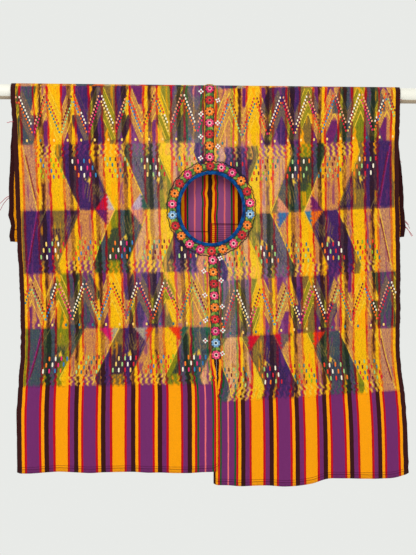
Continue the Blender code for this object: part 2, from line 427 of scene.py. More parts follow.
# x at the top, drop at the top and bottom, lean sideways per drop, half width, depth outwards
creases = (
    (-0.395, 0.42, 0.86, 0.02, 0.022, 0.0022),
    (-0.330, 0.58, 0.90, -0.03, 0.015, -0.0018),
    (-0.270, 0.50, 0.92, 0.03, 0.024, 0.0024),
    (-0.205, 0.66, 0.92, -0.02, 0.014, -0.0020),
    (-0.150, 0.55, 0.91, 0.05, 0.020, 0.0020),
    (-0.085, 0.64, 0.92, 0.00, 0.016, -0.0016),
    (0.075, 0.66, 0.92, 0.03, 0.018, 0.0022),
    (0.135, 0.52, 0.92, -0.04, 0.014, -0.0018),
    (0.195, 0.60, 0.93, 0.02, 0.024, 0.0024),
    (0.262, 0.48, 0.93, 0.01, 0.016, -0.0020),
    (0.318, 0.62, 0.92, -0.03, 0.020, 0.0022),
    (0.385, 0.45, 0.90, 0.06, 0.017, -0.0018),
    (-0.300, 0.04, 0.34, 0.05, 0.030, 0.0010),
    (-0.180, 0.03, 0.20, -0.08, 0.020, -0.0008),
    (0.160, 0.03, 0.24, 0.09, 0.024, 0.0009),
    (0.300, 0.05, 0.40, -0.03, 0.028, 0.0010),
)


def creaseDepth(x, drop):
    total = np.zeros_like(x)
    for top, start, end, lean, halfWidth, depth in creases:
        along = np.clip((drop - start) / (end - start), 0, 1)
        swell = np.sin(pi * np.minimum(along, 0.62) / 1.24) ** 2 * (drop > start)
        across = (x - top - lean * (drop - start)) / halfWidth
        total += depth * swell * np.exp(-across * across)
    return total


# how far down, half length and how far out the back selvages ruffle
ruffles = {
    "left": (
        (0.120, 0.030, 0.0010),
        (0.205, 0.025, 0.0016),
        (0.283, 0.010, 0.0036),
        (0.308, 0.014, -0.0034),
        (0.335, 0.012, 0.0020),
    ),
    "right": (
        (0.090, 0.025, -0.0012),
        (0.160, 0.030, 0.0016),
        (0.255, 0.022, -0.0014),
        (0.300, 0.012, 0.0022),
        (0.322, 0.008, -0.0018),
    ),
}
# how far out the selvages stir, and how many times a metre
selvageStir = ((0.0016, 90, 0), (0.0010, 260, 3))


def selvageWander(side, drop, behind):
    # sideways, outwards
    seed = 1.0 if side == "left" else 2.0
    fine = 0
    for reach, often, shift in selvageStir:
        fine = fine + reach * (softNoise(drop * often, drop * 0, seed + shift) - 0.5)
    if not behind:
        return fine
    for middle, half, size in ruffles[side]:
        fine = fine + size * np.clip(1 - np.abs(drop - middle) / half, 0, 1) ** 1.5
    return fine


def innerEdge(side, drop):
    seam = readTable(frontSections, 2, drop)
    if side == "left":
        return seam - cloth["fit"] / 2
    return seam + cloth["fit"] / 2 - cloth["lap"] * ease(cloth["slitParted"], cloth["slitLapped"], drop)


def hang(side, share, travel, out=0.0):
    # points of a panel: share across from the outer selvage, travel up from the pole's front
    outer = 1 if side == "left" else 3
    lean = -1 if side == "left" else 1
    drop = np.maximum(-travel, 0)
    edge = readTable(frontSections, outer, drop)
    inner = innerEdge(side, drop)
    frontX = edge + (inner - edge) * share
    nearEdge = np.clip(1 - share * 12, 0, 1) ** 1.5
    frontX = frontX + lean * nearEdge * selvageWander(side, drop, False) * ease(0, 0.02, drop)
    tuck = 0
    if side == "right":
        parted = ease(cloth["slitTop"], cloth["slitParted"], drop)
        fromEdge = np.abs(frontX - inner)
        tuck = cloth["lapDepth"] * parted * (1 - ease(0, cloth["lapFade"], fromEdge - cloth["lap"]))
    frontY = -bendRadius - frontWave(frontX, drop) - creaseDepth(frontX, drop) + tuck - out
    turn = np.clip(travel / bendRadius, 0, pi)
    seamTop = frontSections[0][2] + lean * cloth["fit"] / 2
    topX = frontSections[0][outer] + (seamTop - frontSections[0][outer]) * share
    behind = np.maximum(travel - bendLength, 0)
    backEdge = readTable(backSections, outer, behind)
    sewn = ease(0.004, 0.030, behind)
    gap = cloth["fit"] * (1 - sewn) + cloth["sewnGap"] * sewn
    backInner = readTable(backSections, 2, behind) + lean * gap / 2
    backX = backEdge + (backInner - backEdge) * share
    backX = backX + lean * nearEdge * selvageWander(side, behind, True) * ease(0, 0.02, behind)
    backY = bendRadius + backWave(backX, behind) + out
    onFront, onBack = travel <= 0, travel >= bendLength
    x = np.where(onFront, frontX, np.where(onBack, backX, topX))
    y = np.where(onFront, frontY, np.where(onBack, backY, -(bendRadius + out) * np.cos(turn)))
    z = np.where(onFront, -drop, np.where(onBack, -behind, (bendRadius + out) * np.sin(turn)))
    return np.stack([x, y, z], axis=-1)


def hangSeam(travel, across, out):
    # points over the middle seam, out from the middle of the cloth's wall
    turn = np.clip(travel / bendRadius, 0, pi)
    behind = np.maximum(travel - bendLength, 0)
    frontX = readTable(frontSections, 2, np.maximum(-travel, 0))
    backX = readTable(backSections, 2, behind)
    onFront, onBack = travel <= 0, travel >= bendLength
    x = np.where(onFront, frontX, np.where(onBack, backX, frontSections[0][2])) + across
    reach = bendRadius + out
    y = np.where(onFront, -reach, np.where(onBack, reach, -reach * np.cos(turn)))
    z = np.where(onFront, travel, np.where(onBack, -behind, reach * np.sin(turn)))
    return np.stack([x, y, z], axis=-1)


def hangNeck(turn, beyond, out):
    # points round the neck, turn clockwise from its top, beyond outside the cut edge
    x = neck["x"] + (neck["halfWidth"] + beyond) * np.sin(turn)
    z = -neck["drop"] + (neck["halfHeight"] + beyond) * np.cos(turn)
    return np.stack([x, -bendRadius - out + 0 * x, z], axis=-1)


# Even scatter without a random generator

def scatter(i, j=0.0, seed=0.0):
    value = np.sin(np.asarray(i) * 12.9898 + np.asarray(j) * 78.233 + seed * 37.719) * 43758.5453
    return value - np.floor(value)


def softNoise(x, y, seed=0.0):
    i, j = np.floor(x), np.floor(y)
    u, v = x - i, y - j
    u, v = u * u * (3 - 2 * u), v * v * (3 - 2 * v)
    low = scatter(i, j, seed) * (1 - u) + scatter(i + 1, j, seed) * u
    high = scatter(i, j + 1, seed) * (1 - u) + scatter(i + 1, j + 1, seed) * u
    return low * (1 - v) + high * v


# Warp stripes, in millimetres from the outer selvage to the inner one

warps = {
    "maroon": (58, 24, 24),
    "orange": (255, 160, 2),
    "red": (192, 4, 30),
    "purple": (114, 46, 105),
    "green": (22, 84, 48),
    "pink": (240, 112, 112),
}
outerStripes = (("maroon", 11.2), ("orange", 6.2), ("red", 5.2))
repeatedStripes = (
    ("purple", 27.0), ("red", 5.4), ("orange", 6.3), ("maroon", 9.9), ("purple", 9.4), ("red", 5.6),
    ("orange", 27.4), ("red", 5.4), ("purple", 9.9), ("maroon", 9.7), ("orange", 6.7), ("red", 5.2),
)
innerStripes = (
    ("green", 4.4), ("purple", 12.8), ("pink", 3.2), ("purple", 14.0),
    ("green", 4.0), ("red", 4.6), ("orange", 5.4), ("maroon", 12.0),
)
repeats = 3
warpOrder = tuple(warps)
allStripes = outerStripes + repeatedStripes * repeats + innerStripes
stripeEnds = np.cumsum([width for _, width in allStripes])
stripeWidths = np.array([width for _, width in allStripes])
stripeKinds = np.array([warpOrder.index(name) for name, _ in allStripes])


def warpAt(place):
    # which warp lies at each place, as its number in warpOrder
    return stripeKinds[np.minimum(np.searchsorted(stripeEnds, place), len(stripeKinds) - 1)]


# Brocade chart, in millimetres: a from the outer selvage, d down from the pole's axis

# how each weft looks over the maroon, orange, red, purple, green and pink warps
wefts = {
    "gold": (
        (186, 118, 40), (255, 192, 4), (232, 134, 36),
        (216, 142, 74), (196, 166, 36), (250, 180, 88),
    ),
    "straw": (
        (198, 140, 72), (255, 206, 40), (232, 116, 44),
        (236, 176, 116), (190, 178, 80), (252, 200, 140),
    ),
    "peach": (
        (190, 134, 100), (254, 196, 84), (220, 112, 72),
        (222, 166, 142), (170, 154, 104), (242, 184, 154),
    ),
    "violet": (
        (40, 24, 46), (112, 94, 56), (84, 20, 56),
        (52, 36, 96), (34, 40, 82), (88, 50, 108),
    ),
    "indigo": (
        (36, 26, 52), (110, 102, 70), (84, 26, 58),
        (60, 52, 106), (40, 54, 86), (108, 78, 124),
    ),
    "green": (
        (24, 46, 36), (112, 126, 28), (92, 26, 34),
        (54, 80, 88), (12, 84, 58), (92, 104, 90),
    ),
    "slate": (
        (38, 48, 44), (126, 132, 52), (100, 40, 48),
        (92, 98, 110), (26, 86, 68), (120, 114, 112),
    ),
    "tan": (
        (150, 98, 46), (253, 184, 20), (216, 98, 30),
        (198, 130, 74), (156, 132, 48), (232, 152, 90),
    ),
    "edgeTan": (
        (176, 116, 70), (255, 184, 16), (226, 118, 40),
        (200, 138, 98), (170, 140, 60), (236, 160, 110),
    ),
    "olive": (
        (56, 52, 32), (120, 124, 30), (112, 50, 34),
        (102, 92, 86), (56, 92, 46), (134, 114, 80),
    ),
}
darkWefts = ["violet", "indigo", "green", "slate", "olive"]
# the middle of a dark figure hides the orange warps too
for name in list(darkWefts):
    overMaroon, overOrange, overRed, overPurple, *others = wefts[name]
    near = tuple(0.55 * m + 0.35 * p + 0.10 * o for m, p, o in zip(overMaroon, overPurple, overOrange))
    wefts[name + "Full"] = (overMaroon, near, overRed, overPurple, *others)
    darkWefts.append(name + "Full")
threads = {
    "thinGold": (255, 206, 66),
    "magentaThread": (132, 40, 120),
    "goldHatch": (255, 192, 40),
    "inkHatch": (40, 34, 62),
    "crimson": (206, 4, 42),
    "scarlet": (240, 46, 14),
    "magenta": (226, 22, 104),
    "flame": (250, 112, 14),
    "lime": (134, 172, 14),
    "mint": (150, 196, 116),
    "blue": (36, 112, 172),
    "teal": (26, 106, 118),
    "white": (250, 238, 212),
    "cream": (252, 206, 104),
    "wine": (96, 6, 34),
    "ink": (34, 40, 78),
    "stone": (166, 160, 140),
    "lilac": (196, 176, 196),
    "khaki": (120, 112, 62),
    "salmon": (240, 150, 110),
    "plum": (92, 30, 96),
    "seaGreen": (30, 88, 76),
}
for name, colour in threads.items():
    wefts[name] = (colour,) * len(warpOrder)

birdShape = {
    "base": 14.0,
    "pitch": 80.0,
    # share of the row from the head, and how far the left edge leans
    "leanAt": (0.0, 0.27, 0.86, 1.0),
    "lean": (56.0, 37.0, 0.0, 5.0),
    "headWidth": 33.0,
    "headEnd": 0.26,
    "hatchPitch": 7.2,
    "legs": (22.0, 35.0, 48.0, 61.0, 74.0),
    "legHalf": 2.7,
    "legStart": 0.81,
    "legZig": 3.2,
    "legPeriod": 14.0,
    "eyeAt": 50.0,
    "outerBlock": 52.0,
}
peakShape = {
    "pitch": 62.5,
    "top": 0.18,
    "reach": 0.61,
    "bandStart": 4.8,
    "bandEnd": 15.0,
    "narrowHalf": 35.0,
    "flareHalf": 54.0,
    "step": 0.49,
    # bare points: where in the row each starts and ends, how far beside the peak, half its width
    "points": (
        (1.0, 0.70, 13.0, 6.5),
        (1.0, 0.80, -16.0, 5.0),
        (0.0, 0.20, 4.0, 5.0),
        (0.0, 0.30, -24.0, 5.5),
    ),
}

# top and bottom are drops at the outer selvage; wefts, gaps and blocks run inwards from it
rowsOf = {
    "left": (
        {"kind": "birds", "top": -142, "bottom": -10, "head": "bottom",
         "wefts": ("gold", "green", "gold", "violet", "straw", "indigo"),
         "gaps": ("crimson", "violet", "flame", "stone", "scarlet", "seaGreen")},
        # partly painted shade: this row's dark blocks are drawn wider, to darken the top row as the shade
        # under the pole
        {"kind": "peaks", "top": -10, "bottom": 125, "turned": True, "peak": 16,
         "blocks": ((8, "green", 56), (205, "violet", 68), (398, "slate", 68))},
        {"kind": "birds", "top": 125, "bottom": 277, "head": "bottom",
         "wefts": ("gold", "violet", "gold", "slate", "straw", "indigo"),
         "gaps": ("khaki", "stone", "crimson", "lilac", "seaGreen", "salmon")},
        {"kind": "birds", "top": 277, "bottom": 422, "head": "top",
         "wefts": ("violet", "gold", "green", "straw", "indigo", "salmon"),
         "gaps": ("gold", "crimson", "plum", "salmon", "gold", "crimson")},
        {"kind": "peaks", "top": 422, "bottom": 548.5, "turned": False, "peak": 27,
         "blocks": ((128, "green", 58), (302, "indigo", 58))},
        {"kind": "birds", "top": 548.5, "bottom": 680, "head": "top",
         "wefts": ("green", "gold", "violet", "gold", "green", "straw"),
         "gaps": ("seaGreen", "gold", "magenta", "stone", "scarlet", "seaGreen")},
    ),
    "right": (
        {"kind": "birds", "top": -155, "bottom": -28, "head": "bottom",
         "wefts": ("violet", "gold", "green", "gold", "indigo", "peach"),
         "gaps": ("khaki", "scarlet", "plum", "salmon", "gold", "stone")},
        {"kind": "peaks", "top": -28, "bottom": 105, "turned": False, "peak": 31,
         "blocks": ((98, "green", 63), (262, "violet", 69), (470, "tan", 50))},
        {"kind": "birds", "top": 105, "bottom": 259, "head": "bottom",
         "wefts": ("violet", "gold", "green", "straw", "indigo", "peach"),
         "gaps": ("tan", "scarlet", "plum", "salmon", "khaki", "stone")},
        {"kind": "birds", "top": 259, "bottom": 406, "head": "top",
         "wefts": ("gold", "violet", "gold", "slate", "straw", "indigo"),
         "gaps": ("plum", "lime", "flame", "blue", "gold", "stone")},
        {"kind": "peaks", "top": 406, "bottom": 535, "turned": True, "peak": 25,
         "blocks": ((22, "green", 52), (212, "violet", 58), (402, "slate", 60))},
        {"kind": "birds", "top": 535, "bottom": 680, "head": "top",
         "wefts": ("gold", "green", "gold", "violet", "straw", "green"),
         "gaps": ("salmon", "blue", "scarlet", "olive", "crimson", "khaki")},
    ),
}
chart = {
    "bareOuter": 11.2,  # the outer selvage has no brocade
    "bareInner": 11.5,
    "panelWidth": 452.0,
    "leftSkew": -10.0,  # the rows run up this far towards the seam
    "rightSkew": 20.0,
    "rightSkewMore": 12.0,
    "threadGroup": 3.1,
    "raggedness": 1.0,
    "streakLength": 46.0,
    "streaks": 0.71,
    "seamPull": 3.2,
}


def stripeReach(side, travel):
    # how much of the stripes' width shows: less where the inner selvage is turned under or lapped
    lapped = ease(0.59, 0.70, -travel)
    behind = ease(0, bendLength, travel)
    return 462 - (10 if side == "left" else 2) * lapped - 2 * behind


def rowSkew(side, a, d):
    if side == "left":
        return chart["leftSkew"] * a / chart["panelWidth"]
    return (chart["rightSkew"] + chart["rightSkewMore"] * d / 700) * a / chart["panelWidth"]


class Picture:
    # what is woven in at each point, as red, green, blue and cover
    def __init__(self, place, d):
        self.kind = warpAt(place)
        self.weft = np.zeros((place.size, 4))
        self.dark = np.zeros(place.size, bool)
        # dark warps come through light wefts as narrow jagged lines
        stripe = np.minimum(np.searchsorted(stripeEnds, place), len(stripeKinds) - 1)
        centre = stripeEnds[stripe] - stripeWidths[stripe] / 2
        length = softNoise(stripe * 3.7, d / 34.0, 5.0)
        half = 0.20 + 0.42 * softNoise(stripe * 1.9, d / 6.0, 9.0)
        narrow = np.abs(place - centre) < half * stripeWidths[stripe] / 2
        isDark = (self.kind == warpOrder.index("maroon")) | (self.kind == warpOrder.index("red"))
        self.core = narrow & isDark & (length > 0.50)
        self.slim = stripeWidths[stripe] < 20

    def lay(self, mask, name, cover=0.95):
        if not mask.any():
            return
        table = np.array([toShare(colour) for colour in wefts[name]])
        self.weft[mask, :3] = table[self.kind[mask]]
        self.weft[mask, 3] = cover if np.isscalar(cover) else cover[mask]
        self.dark[mask] = name in darkWefts
        if name in ("gold", "straw", "peach", "tan"):
            self.bare(mask & self.core, 0.10)

    def bare(self, mask, cover=0.08):
        self.weft[mask, 3] = np.minimum(self.weft[mask, 3], cover)


def triangleWave(value):
    return np.abs(value % 1 - 0.5) * 4 - 1


def streaks(a, d, seed):
    return softNoise(a / 3.4, d / chart["streakLength"] + seed, 3.7)


def birdPlace(row, a, d):
    # share of the row from the head, then the figure's number and how far across it
    shape = birdShape
    tau = (d - row["top"]) / (row["bottom"] - row["top"])
    if row["head"] == "bottom":
        tau = 1 - tau
    s = a - shape["base"] - np.interp(tau, shape["leanAt"], shape["lean"])
    k = np.floor(s / shape["pitch"])
    return tau, k, s - k * shape["pitch"]


def zigzagPlace(row, a, d):
    # share of the row, place counted in peaks, the nearest peak, and the distance from the zigzag's line
    shape = peakShape
    length = row["bottom"] - row["top"]
    t = (d - row["top"]) / length
    unit = (a - row["peak"]) / shape["pitch"]
    peak = np.round(unit)
    near = np.abs(unit - peak) * 2
    rise = shape["reach"] * length / (shape["pitch"] / 2)
    return t, unit, peak, (t - shape["top"] - shape["reach"] * near) * length / hypot(1, rise)


def lineChart(side, share, d):
    # the zigzag's distance, the distance from a bird's slanting edge, both in shares of 20 mm, and a mask
    a = share * chart["panelWidth"]
    level = d - rowSkew(side, a, d)
    edge = chart["panelWidth"] - chart["bareInner"]
    values = np.ones((share.size, 3))
    values[:, 2] = 0
    for number, row in enumerate(rowsOf[side]):
        inside = (level >= row["top"]) & (level < row["bottom"]) & (a > chart["bareOuter"]) & (a < edge)
        if row["kind"] == "birds":
            tau, _, f = birdPlace(row, a, level)
            half = birdShape["pitch"] / 2
            far = (f + 1.2 + half) % birdShape["pitch"] - half
            drawn = inside & (tau < 0.90) & (a > birdShape["outerBlock"] - 4)
            values[inside, 1] = np.clip(far[inside] * 0.93 / 20, -1, 1)
            values[drawn, 2] = 1
        else:
            t, _, _, p = zigzagPlace(row, a, level)
            drawn = inside & (t < 0.93) & (t > 0.04)
            values[inside, 0] = np.clip(p[inside] / 20, -1, 1)
            values[drawn, 2] = 1
    return values


def weaveBirds(picture, row, number, inside, a, d):
    shape = birdShape
    pitch = shape["pitch"]
    tau, k, f = birdPlace(row, a, d)
    headRight = np.interp(tau, (0, shape["headEnd"]), (shape["headWidth"], pitch))
    streak = streaks(a, d, number)
    zig = triangleWave(d / 11.0)
    outer = inside & (a < shape["outerBlock"])
    inside = inside & ~outer
    name = row["wefts"][0]
    outerName = name if name in darkWefts else "edgeTan"
    picture.lay(outer, outerName, np.where(streak > chart["streaks"] + 0.04, 0.45, 0.93))
    slant = a - 19 - 30 * (1 - tau)
    slantThread = "magentaThread" if name in darkWefts else "thinGold"
    picture.lay(outer & (np.abs(slant) < 1.4), slantThread, 0.95)
    picture.lay(outer & (np.abs(slant - 2.6) < 1.2) & (np.abs(tau - 0.5) < 0.34), "wine", 0.9)
    for motif in range(-1, 7):
        mine = inside & (k == motif)
        if not mine.any():
            continue
        name = row["wefts"][min(max(motif, 0), len(row["wefts"]) - 1)]
        dark = name in darkWefts
        picture.lay(mine, name, np.where((streak > chart["streaks"]) & (tau > 0.08), 0.30, 0.90))
        if dark:
            middle = (f > 12 + 4 * zig * (tau < 0.5)) & (f < pitch - 20) & (tau > 0.30)
            whole = mine & (middle | picture.slim)
            picture.lay(whole, name + "Full", np.where(streak > chart["streaks"] + 0.08, 0.4, 0.94))
        scribble = np.abs((f + 2.2 * zig) % shape["hatchPitch"] - shape["hatchPitch"] / 2) < 0.9
        middle = mine & (f > 16) & (f < pitch - 12) & (tau > 0.42) & (tau < 0.80)
        picture.lay(middle & scribble & (scatter(np.floor(f / shape["hatchPitch"]), motif, number) > 0.25),
                    "inkHatch" if dark else "goldHatch", 0.95)
        # lines along the slant of the head, and along the edges
        across = f - pitch + 1.5
        rib = (np.abs(across % 6.0 - 3.0) < 0.8) & (f > pitch - 26) & (tau < 0.40) & (tau > 0.06)
        picture.lay(mine & rib, "khaki" if dark else "thinGold", 0.85)
        picture.lay(mine & (f < 1.6) & (tau > 0.25), "olive" if dark else "gold", 0.95)
        centre = shape["eyeAt"]
        crest = np.abs(f - centre) - 95 * (0.38 - tau)
        crestLine = (np.abs(crest % 6.5 - 3.2) < 0.9) & (np.abs(crest) < 14) & (tau < 0.38) & (tau > 0.10)
        picture.lay(mine & crestLine & (np.abs(f - centre) < 22), "khaki" if dark else "gold", 0.80)
        eye = mine & (tau > 0.39) & (tau < 0.49) & (np.abs(f - centre) < 92 * (tau - 0.39))
        picture.lay(eye, "thinGold" if dark else "tan", 0.97)
        picture.lay(eye & (np.abs(f - centre + 2) < 2.2) & (tau > 0.44), "ink" if dark else "gold", 0.97)
        gap = mine & (f > headRight) & (tau < shape["headEnd"]) & (motif >= 1)
        gapName = row["gaps"][(motif + 1) % len(row["gaps"])]
        picture.lay(gap, gapName, np.where(streak > 0.66, 0.5, 0.94))
        second = row["gaps"][(motif + 2) % len(row["gaps"])]
        picture.lay(gap & (f - headRight > 0.62 * (pitch - headRight) + 3 * zig), second, 0.92)
        # legs, with the bare ground between them
        sway = shape["legZig"] * triangleWave(d / shape["legPeriod"] + 0.13 * motif)
        foot = mine & (tau > shape["legStart"]) & (f > 14) & (f < pitch - 3)
        picture.bare(foot, 0.10)
        onLeg = np.zeros(a.size, bool)
        for leg in shape["legs"]:
            half = shape["legHalf"] * (1.75 if dark else 1.1)
            onLeg |= np.abs(f - leg - sway) < half * (1.15 - 0.35 * (tau - 0.8) / 0.2)
        picture.lay(foot & onLeg, name if dark else "thinGold", 0.95)


def weavePeaks(picture, row, number, inside, a, d):
    shape = peakShape
    length = row["bottom"] - row["top"]
    t, unit, peak, p = zigzagPlace(row, a, d)
    fromWide = 1 - t if row["turned"] else t
    streak = streaks(a, d, number)
    picture.lay(inside, "gold", np.where(streak > chart["streaks"], 0.30, 0.90))
    dark = np.zeros(a.size, bool)
    for centre, name, wideHalf in row["blocks"]:
        flare = (fromWide - shape["step"]) / (1 - shape["step"])
        slant = np.clip(fromWide / 0.34, 0, 1)
        wide = wideHalf - 20 * (1 - slant)
        narrow = wideHalf - 23 + (shape["flareHalf"] - shape["narrowHalf"]) * flare
        block = inside & (np.abs(a - centre) < np.where(fromWide < shape["step"], wide, narrow))
        cover = np.where(streak > chart["streaks"], 0.35, 0.90)
        picture.lay(block, name, cover)
        if name in darkWefts:
            picture.lay(block & picture.slim, name + "Full", cover)
        dark |= block & (name in darkWefts)
    falling = unit > peak
    beyond = np.abs(p) > shape["bandEnd"]
    band = inside & (np.abs(p) > shape["bandStart"]) & ~beyond & (t < 0.93) & (t > 0.03)
    drawn = scatter(peak * 2 + falling, np.sign(p), number + 1.0) > 0.22
    overPurple = picture.kind == warpOrder.index("purple")
    atFoot, atTop = (t > 0.60) & (p > 0), (t < 0.34) & (p < 0)
    outside = inside & beyond & overPurple & (atFoot | atTop)
    bare = outside & ~dark & (scatter(peak, falling, number) > 0.42)
    picture.lay(bare, "plum", 0.62)
    picture.lay(band & drawn & ~dark, "tan", 0.95)
    picture.lay(band & drawn & dark, "olive", 0.92)
    # narrow points of bare warp run up from the foot of the row and down from its top
    for start, end, offset, half in shape["points"]:
        share = (t - end) / (start - end)
        middle = (unit - peak) * shape["pitch"] - offset - 2.0 * triangleWave(d / 23.0)
        point = inside & (share > 0) & (np.abs(middle) < half * share)
        picture.bare(point & (scatter(peak, offset, number) > 0.30), 0.06)


def weaveAt(side, a, d, place):
    picture = Picture(place, d)
    level = d - rowSkew(side, a, d)
    column = np.floor(a / chart["threadGroup"])
    ragged = chart["raggedness"] * (scatter(column, 1.0) - 0.5)
    edge = chart["bareInner"] + 3.0 * (softNoise(d / 31.0, d * 0, 3.0) - 0.5)
    within = (a > chart["bareOuter"]) & (a < chart["panelWidth"] - edge)
    for number, row in enumerate(rowsOf[side]):
        inside = within & (level + ragged >= row["top"]) & (level + ragged < row["bottom"])
        weave = weaveBirds if row["kind"] == "birds" else weavePeaks
        weave(picture, row, number, inside, a, level)
    return picture


def clothDrift(side, a, d):
    # how far the warps are pushed aside by the brocade, in millimetres
    level = d - rowSkew(side, a, d)
    rows = rowsOf[side]
    first, last = rows[0]["top"], rows[-1]["bottom"]
    woven = ease(first, first + 6, level) * (1 - ease(last - 6, last, level))
    drift = 2.8 * (softNoise(a / 9.0, d / 21.0, 2.0) - 0.5) + 2.2 * (softNoise(a / 4.0, d / 6.0, 6.0) - 0.5)
    for row in rows:
        if row["kind"] != "birds":
            continue
        size = row["bottom"] - row["top"]
        fromFeet = level - row["top"] if row["head"] == "bottom" else row["bottom"] - level
        close = (fromFeet > 0) * (1 - ease(0.14 * size, 0.26 * size, fromFeet))
        step = 0.3 + 0.4 * scatter(np.floor(a / 27))
        drift = drift + 3.0 * close * triangleWave(d / birdShape["legPeriod"] + step)
    ownSeed = 8.0 if side == "left" else 14.0
    besideSeam = ease(404, 440, a) * ease(165, 195, -d)
    pulled = chart["seamPull"] * besideSeam * (softNoise(d / 12.0, d * 0, ownSeed) - 0.5)
    return woven * drift * ease(8, 30, a) + pulled + 0.5 * (softNoise(a / 30.0, d / 90.0, 4.0) - 0.5)


def weaveChart(side, share, d):
    # four samples a point, so that slanting edges stay smooth
    total = np.zeros((share.size, 4))
    for da, dd in ((-0.7, -0.4), (-0.25, 0.9), (0.25, -0.9), (0.7, 0.4)):
        sampleD = d + dd
        a = share * chart["panelWidth"] + da
        place = share * stripeReach(side, -sampleD / 1000) + da + clothDrift(side, a, sampleD)
        woven = weaveAt(side, a, sampleD, place).weft
        total[:, :3] += woven[:, :3] * woven[:, 3:]
        total[:, 3] += woven[:, 3]
    total[:, :3] /= np.maximum(total[:, 3:], 1e-6)
    total[:, 3] /= 4
    return total


# Inlaid floats of thicker yarn: dashes on the birds, dots along the zigzags

floatYarns = {
    "onDark": (
        ("mint", "flame", "white", "scarlet"),
        ("flame", "white", "magenta", "blue"),
        ("white", "crimson", "mint", "flame"),
        ("cream", "mint", "white", "crimson"),
    ),
    "onLight": (
        ("crimson", "mint", "teal", "wine"),
        ("teal", "crimson", "mint", "wine"),
        ("lime", "scarlet", "blue", "crimson"),
        ("scarlet", "teal", "lime", "wine"),
    ),
    "dotsOnDark": (("white", "cream"), ("salmon", "crimson"), ("white", "flame"), ("salmon", "magenta")),
    "dotsOnLight": (("crimson", "teal"), ("wine", "mint"), ("scarlet", "blue"), ("wine", "scarlet")),
    "dash": (3.6, 10.4),
    "lightDash": (3.3, 8.8),
    "dot": (3.3, 5.0),
    "dashRows": (0.53, 0.635, 0.74),
    "dashColumns": (33.0, 46.5, 60.0, 72.5),
    "lightRows": (0.51, 0.595, 0.68, 0.765),
    "lightColumns": (30.0, 42.0, 54.0, 65.5, 76.5),
    "dotPeriod": 7.6,
    "dotLine": 2.9,
    "stand": 0.00006,
    "height": 0.00060,
    "tuck": 0.00012,
}


def birdFloats(row, number):
    shape = birdShape
    length = row["bottom"] - row["top"]
    for motif in range(0, 6):
        name = row["wefts"][min(motif, len(row["wefts"]) - 1)]
        dark = name in darkWefts
        table = floatYarns["onDark" if dark else "onLight"]
        colours = table[(motif * 3 + number) % len(table)]
        size = floatYarns["dash" if dark else "lightDash"]
        columns = floatYarns["dashColumns" if dark else "lightColumns"]
        for line, tau in enumerate(floatYarns["dashRows" if dark else "lightRows"]):
            foot = shape["base"] + motif * shape["pitch"] + np.interp(tau, shape["leanAt"], shape["lean"])
            level = tau if row["head"] == "top" else 1 - tau
            for i, column in enumerate(columns):
                wobble = 1.2 * (scatter(i + 4 * line, motif, number) - 0.5)
                rise = 1.6 * (scatter(i, line + motif, number + 5.0) - 0.5)
                colour = colours[(i + (line > 1)) % len(colours)]
                yield foot + column + wobble, row["top"] + level * length + rise, size, colour


def peakFloats(row, number, isDark):
    shape = peakShape
    length = row["bottom"] - row["top"]
    half = shape["pitch"] / 2
    slope = shape["reach"] * length / half
    count = int(shape["reach"] * length / floatYarns["dotPeriod"])
    for peak in range(0, 8):
        for direction in (-1, 1):
            for line, side in enumerate((-1, 1)):
                for i in range(count):
                    fall = (i + 0.3 + 0.5 * line) * floatYarns["dotPeriod"]
                    shift = side * floatYarns["dotLine"] * hypot(1, slope)
                    a = row["peak"] + peak * shape["pitch"] + direction * fall / slope
                    d = row["top"] + shape["top"] * length + fall + shift
                    if not row["top"] + 0.15 * length < d < row["top"] + 0.92 * length:
                        continue
                    name = "dotsOnDark" if isDark(a, d) else "dotsOnLight"
                    pairs = floatYarns[name]
                    colour = pairs[(peak * 2 + (direction > 0) + number) % len(pairs)][line]
                    yield a, d, floatYarns["dot"], colour
            spot = row["peak"] + peak * shape["pitch"] + direction * 15.6
            colour = "cream" if scatter(peak, direction, number) > 0.3 else "teal"
            yield spot, row["top"] + 0.935 * length, (4.2, 6.4), colour


def floatsOf(side):
    found = []
    for number, row in enumerate(rowsOf[side]):
        if row["kind"] == "birds":
            found += birdFloats(row, number)
            continue

        def isDark(a, d):
            a, d = np.array([a]), np.array([d])
            whole = np.array([True])
            picture = Picture(a, d)
            weavePeaks(picture, row, number, whole, a, d)
            return picture.dark[0] or picture.weft[0, :3].sum() < 1.0

        found += peakFloats(row, number, isDark)
    return found


def isClear(side, a, d):
    # away from the selvages, the neck's embroidery and the middle strip
    if not 12 < a < chart["panelWidth"] - 8:
        return False
    place = hang(side, np.array([a / chart["panelWidth"]]), np.array([-d / 1000]))[0]
    seam = hangSeam(np.array([-d / 1000]), np.array([0.0]), np.array([0.0]))[0]
    if abs(place[0] - seam[0]) < 0.0150:
        return False
    if place[1] > 0:
        return True
    across = (place[0] - neck["x"]) / (neck["halfWidth"] + 0.0310)
    down = (place[2] + neck["drop"]) / (neck["halfHeight"] + 0.0310)
    return hypot(across, down) > 1


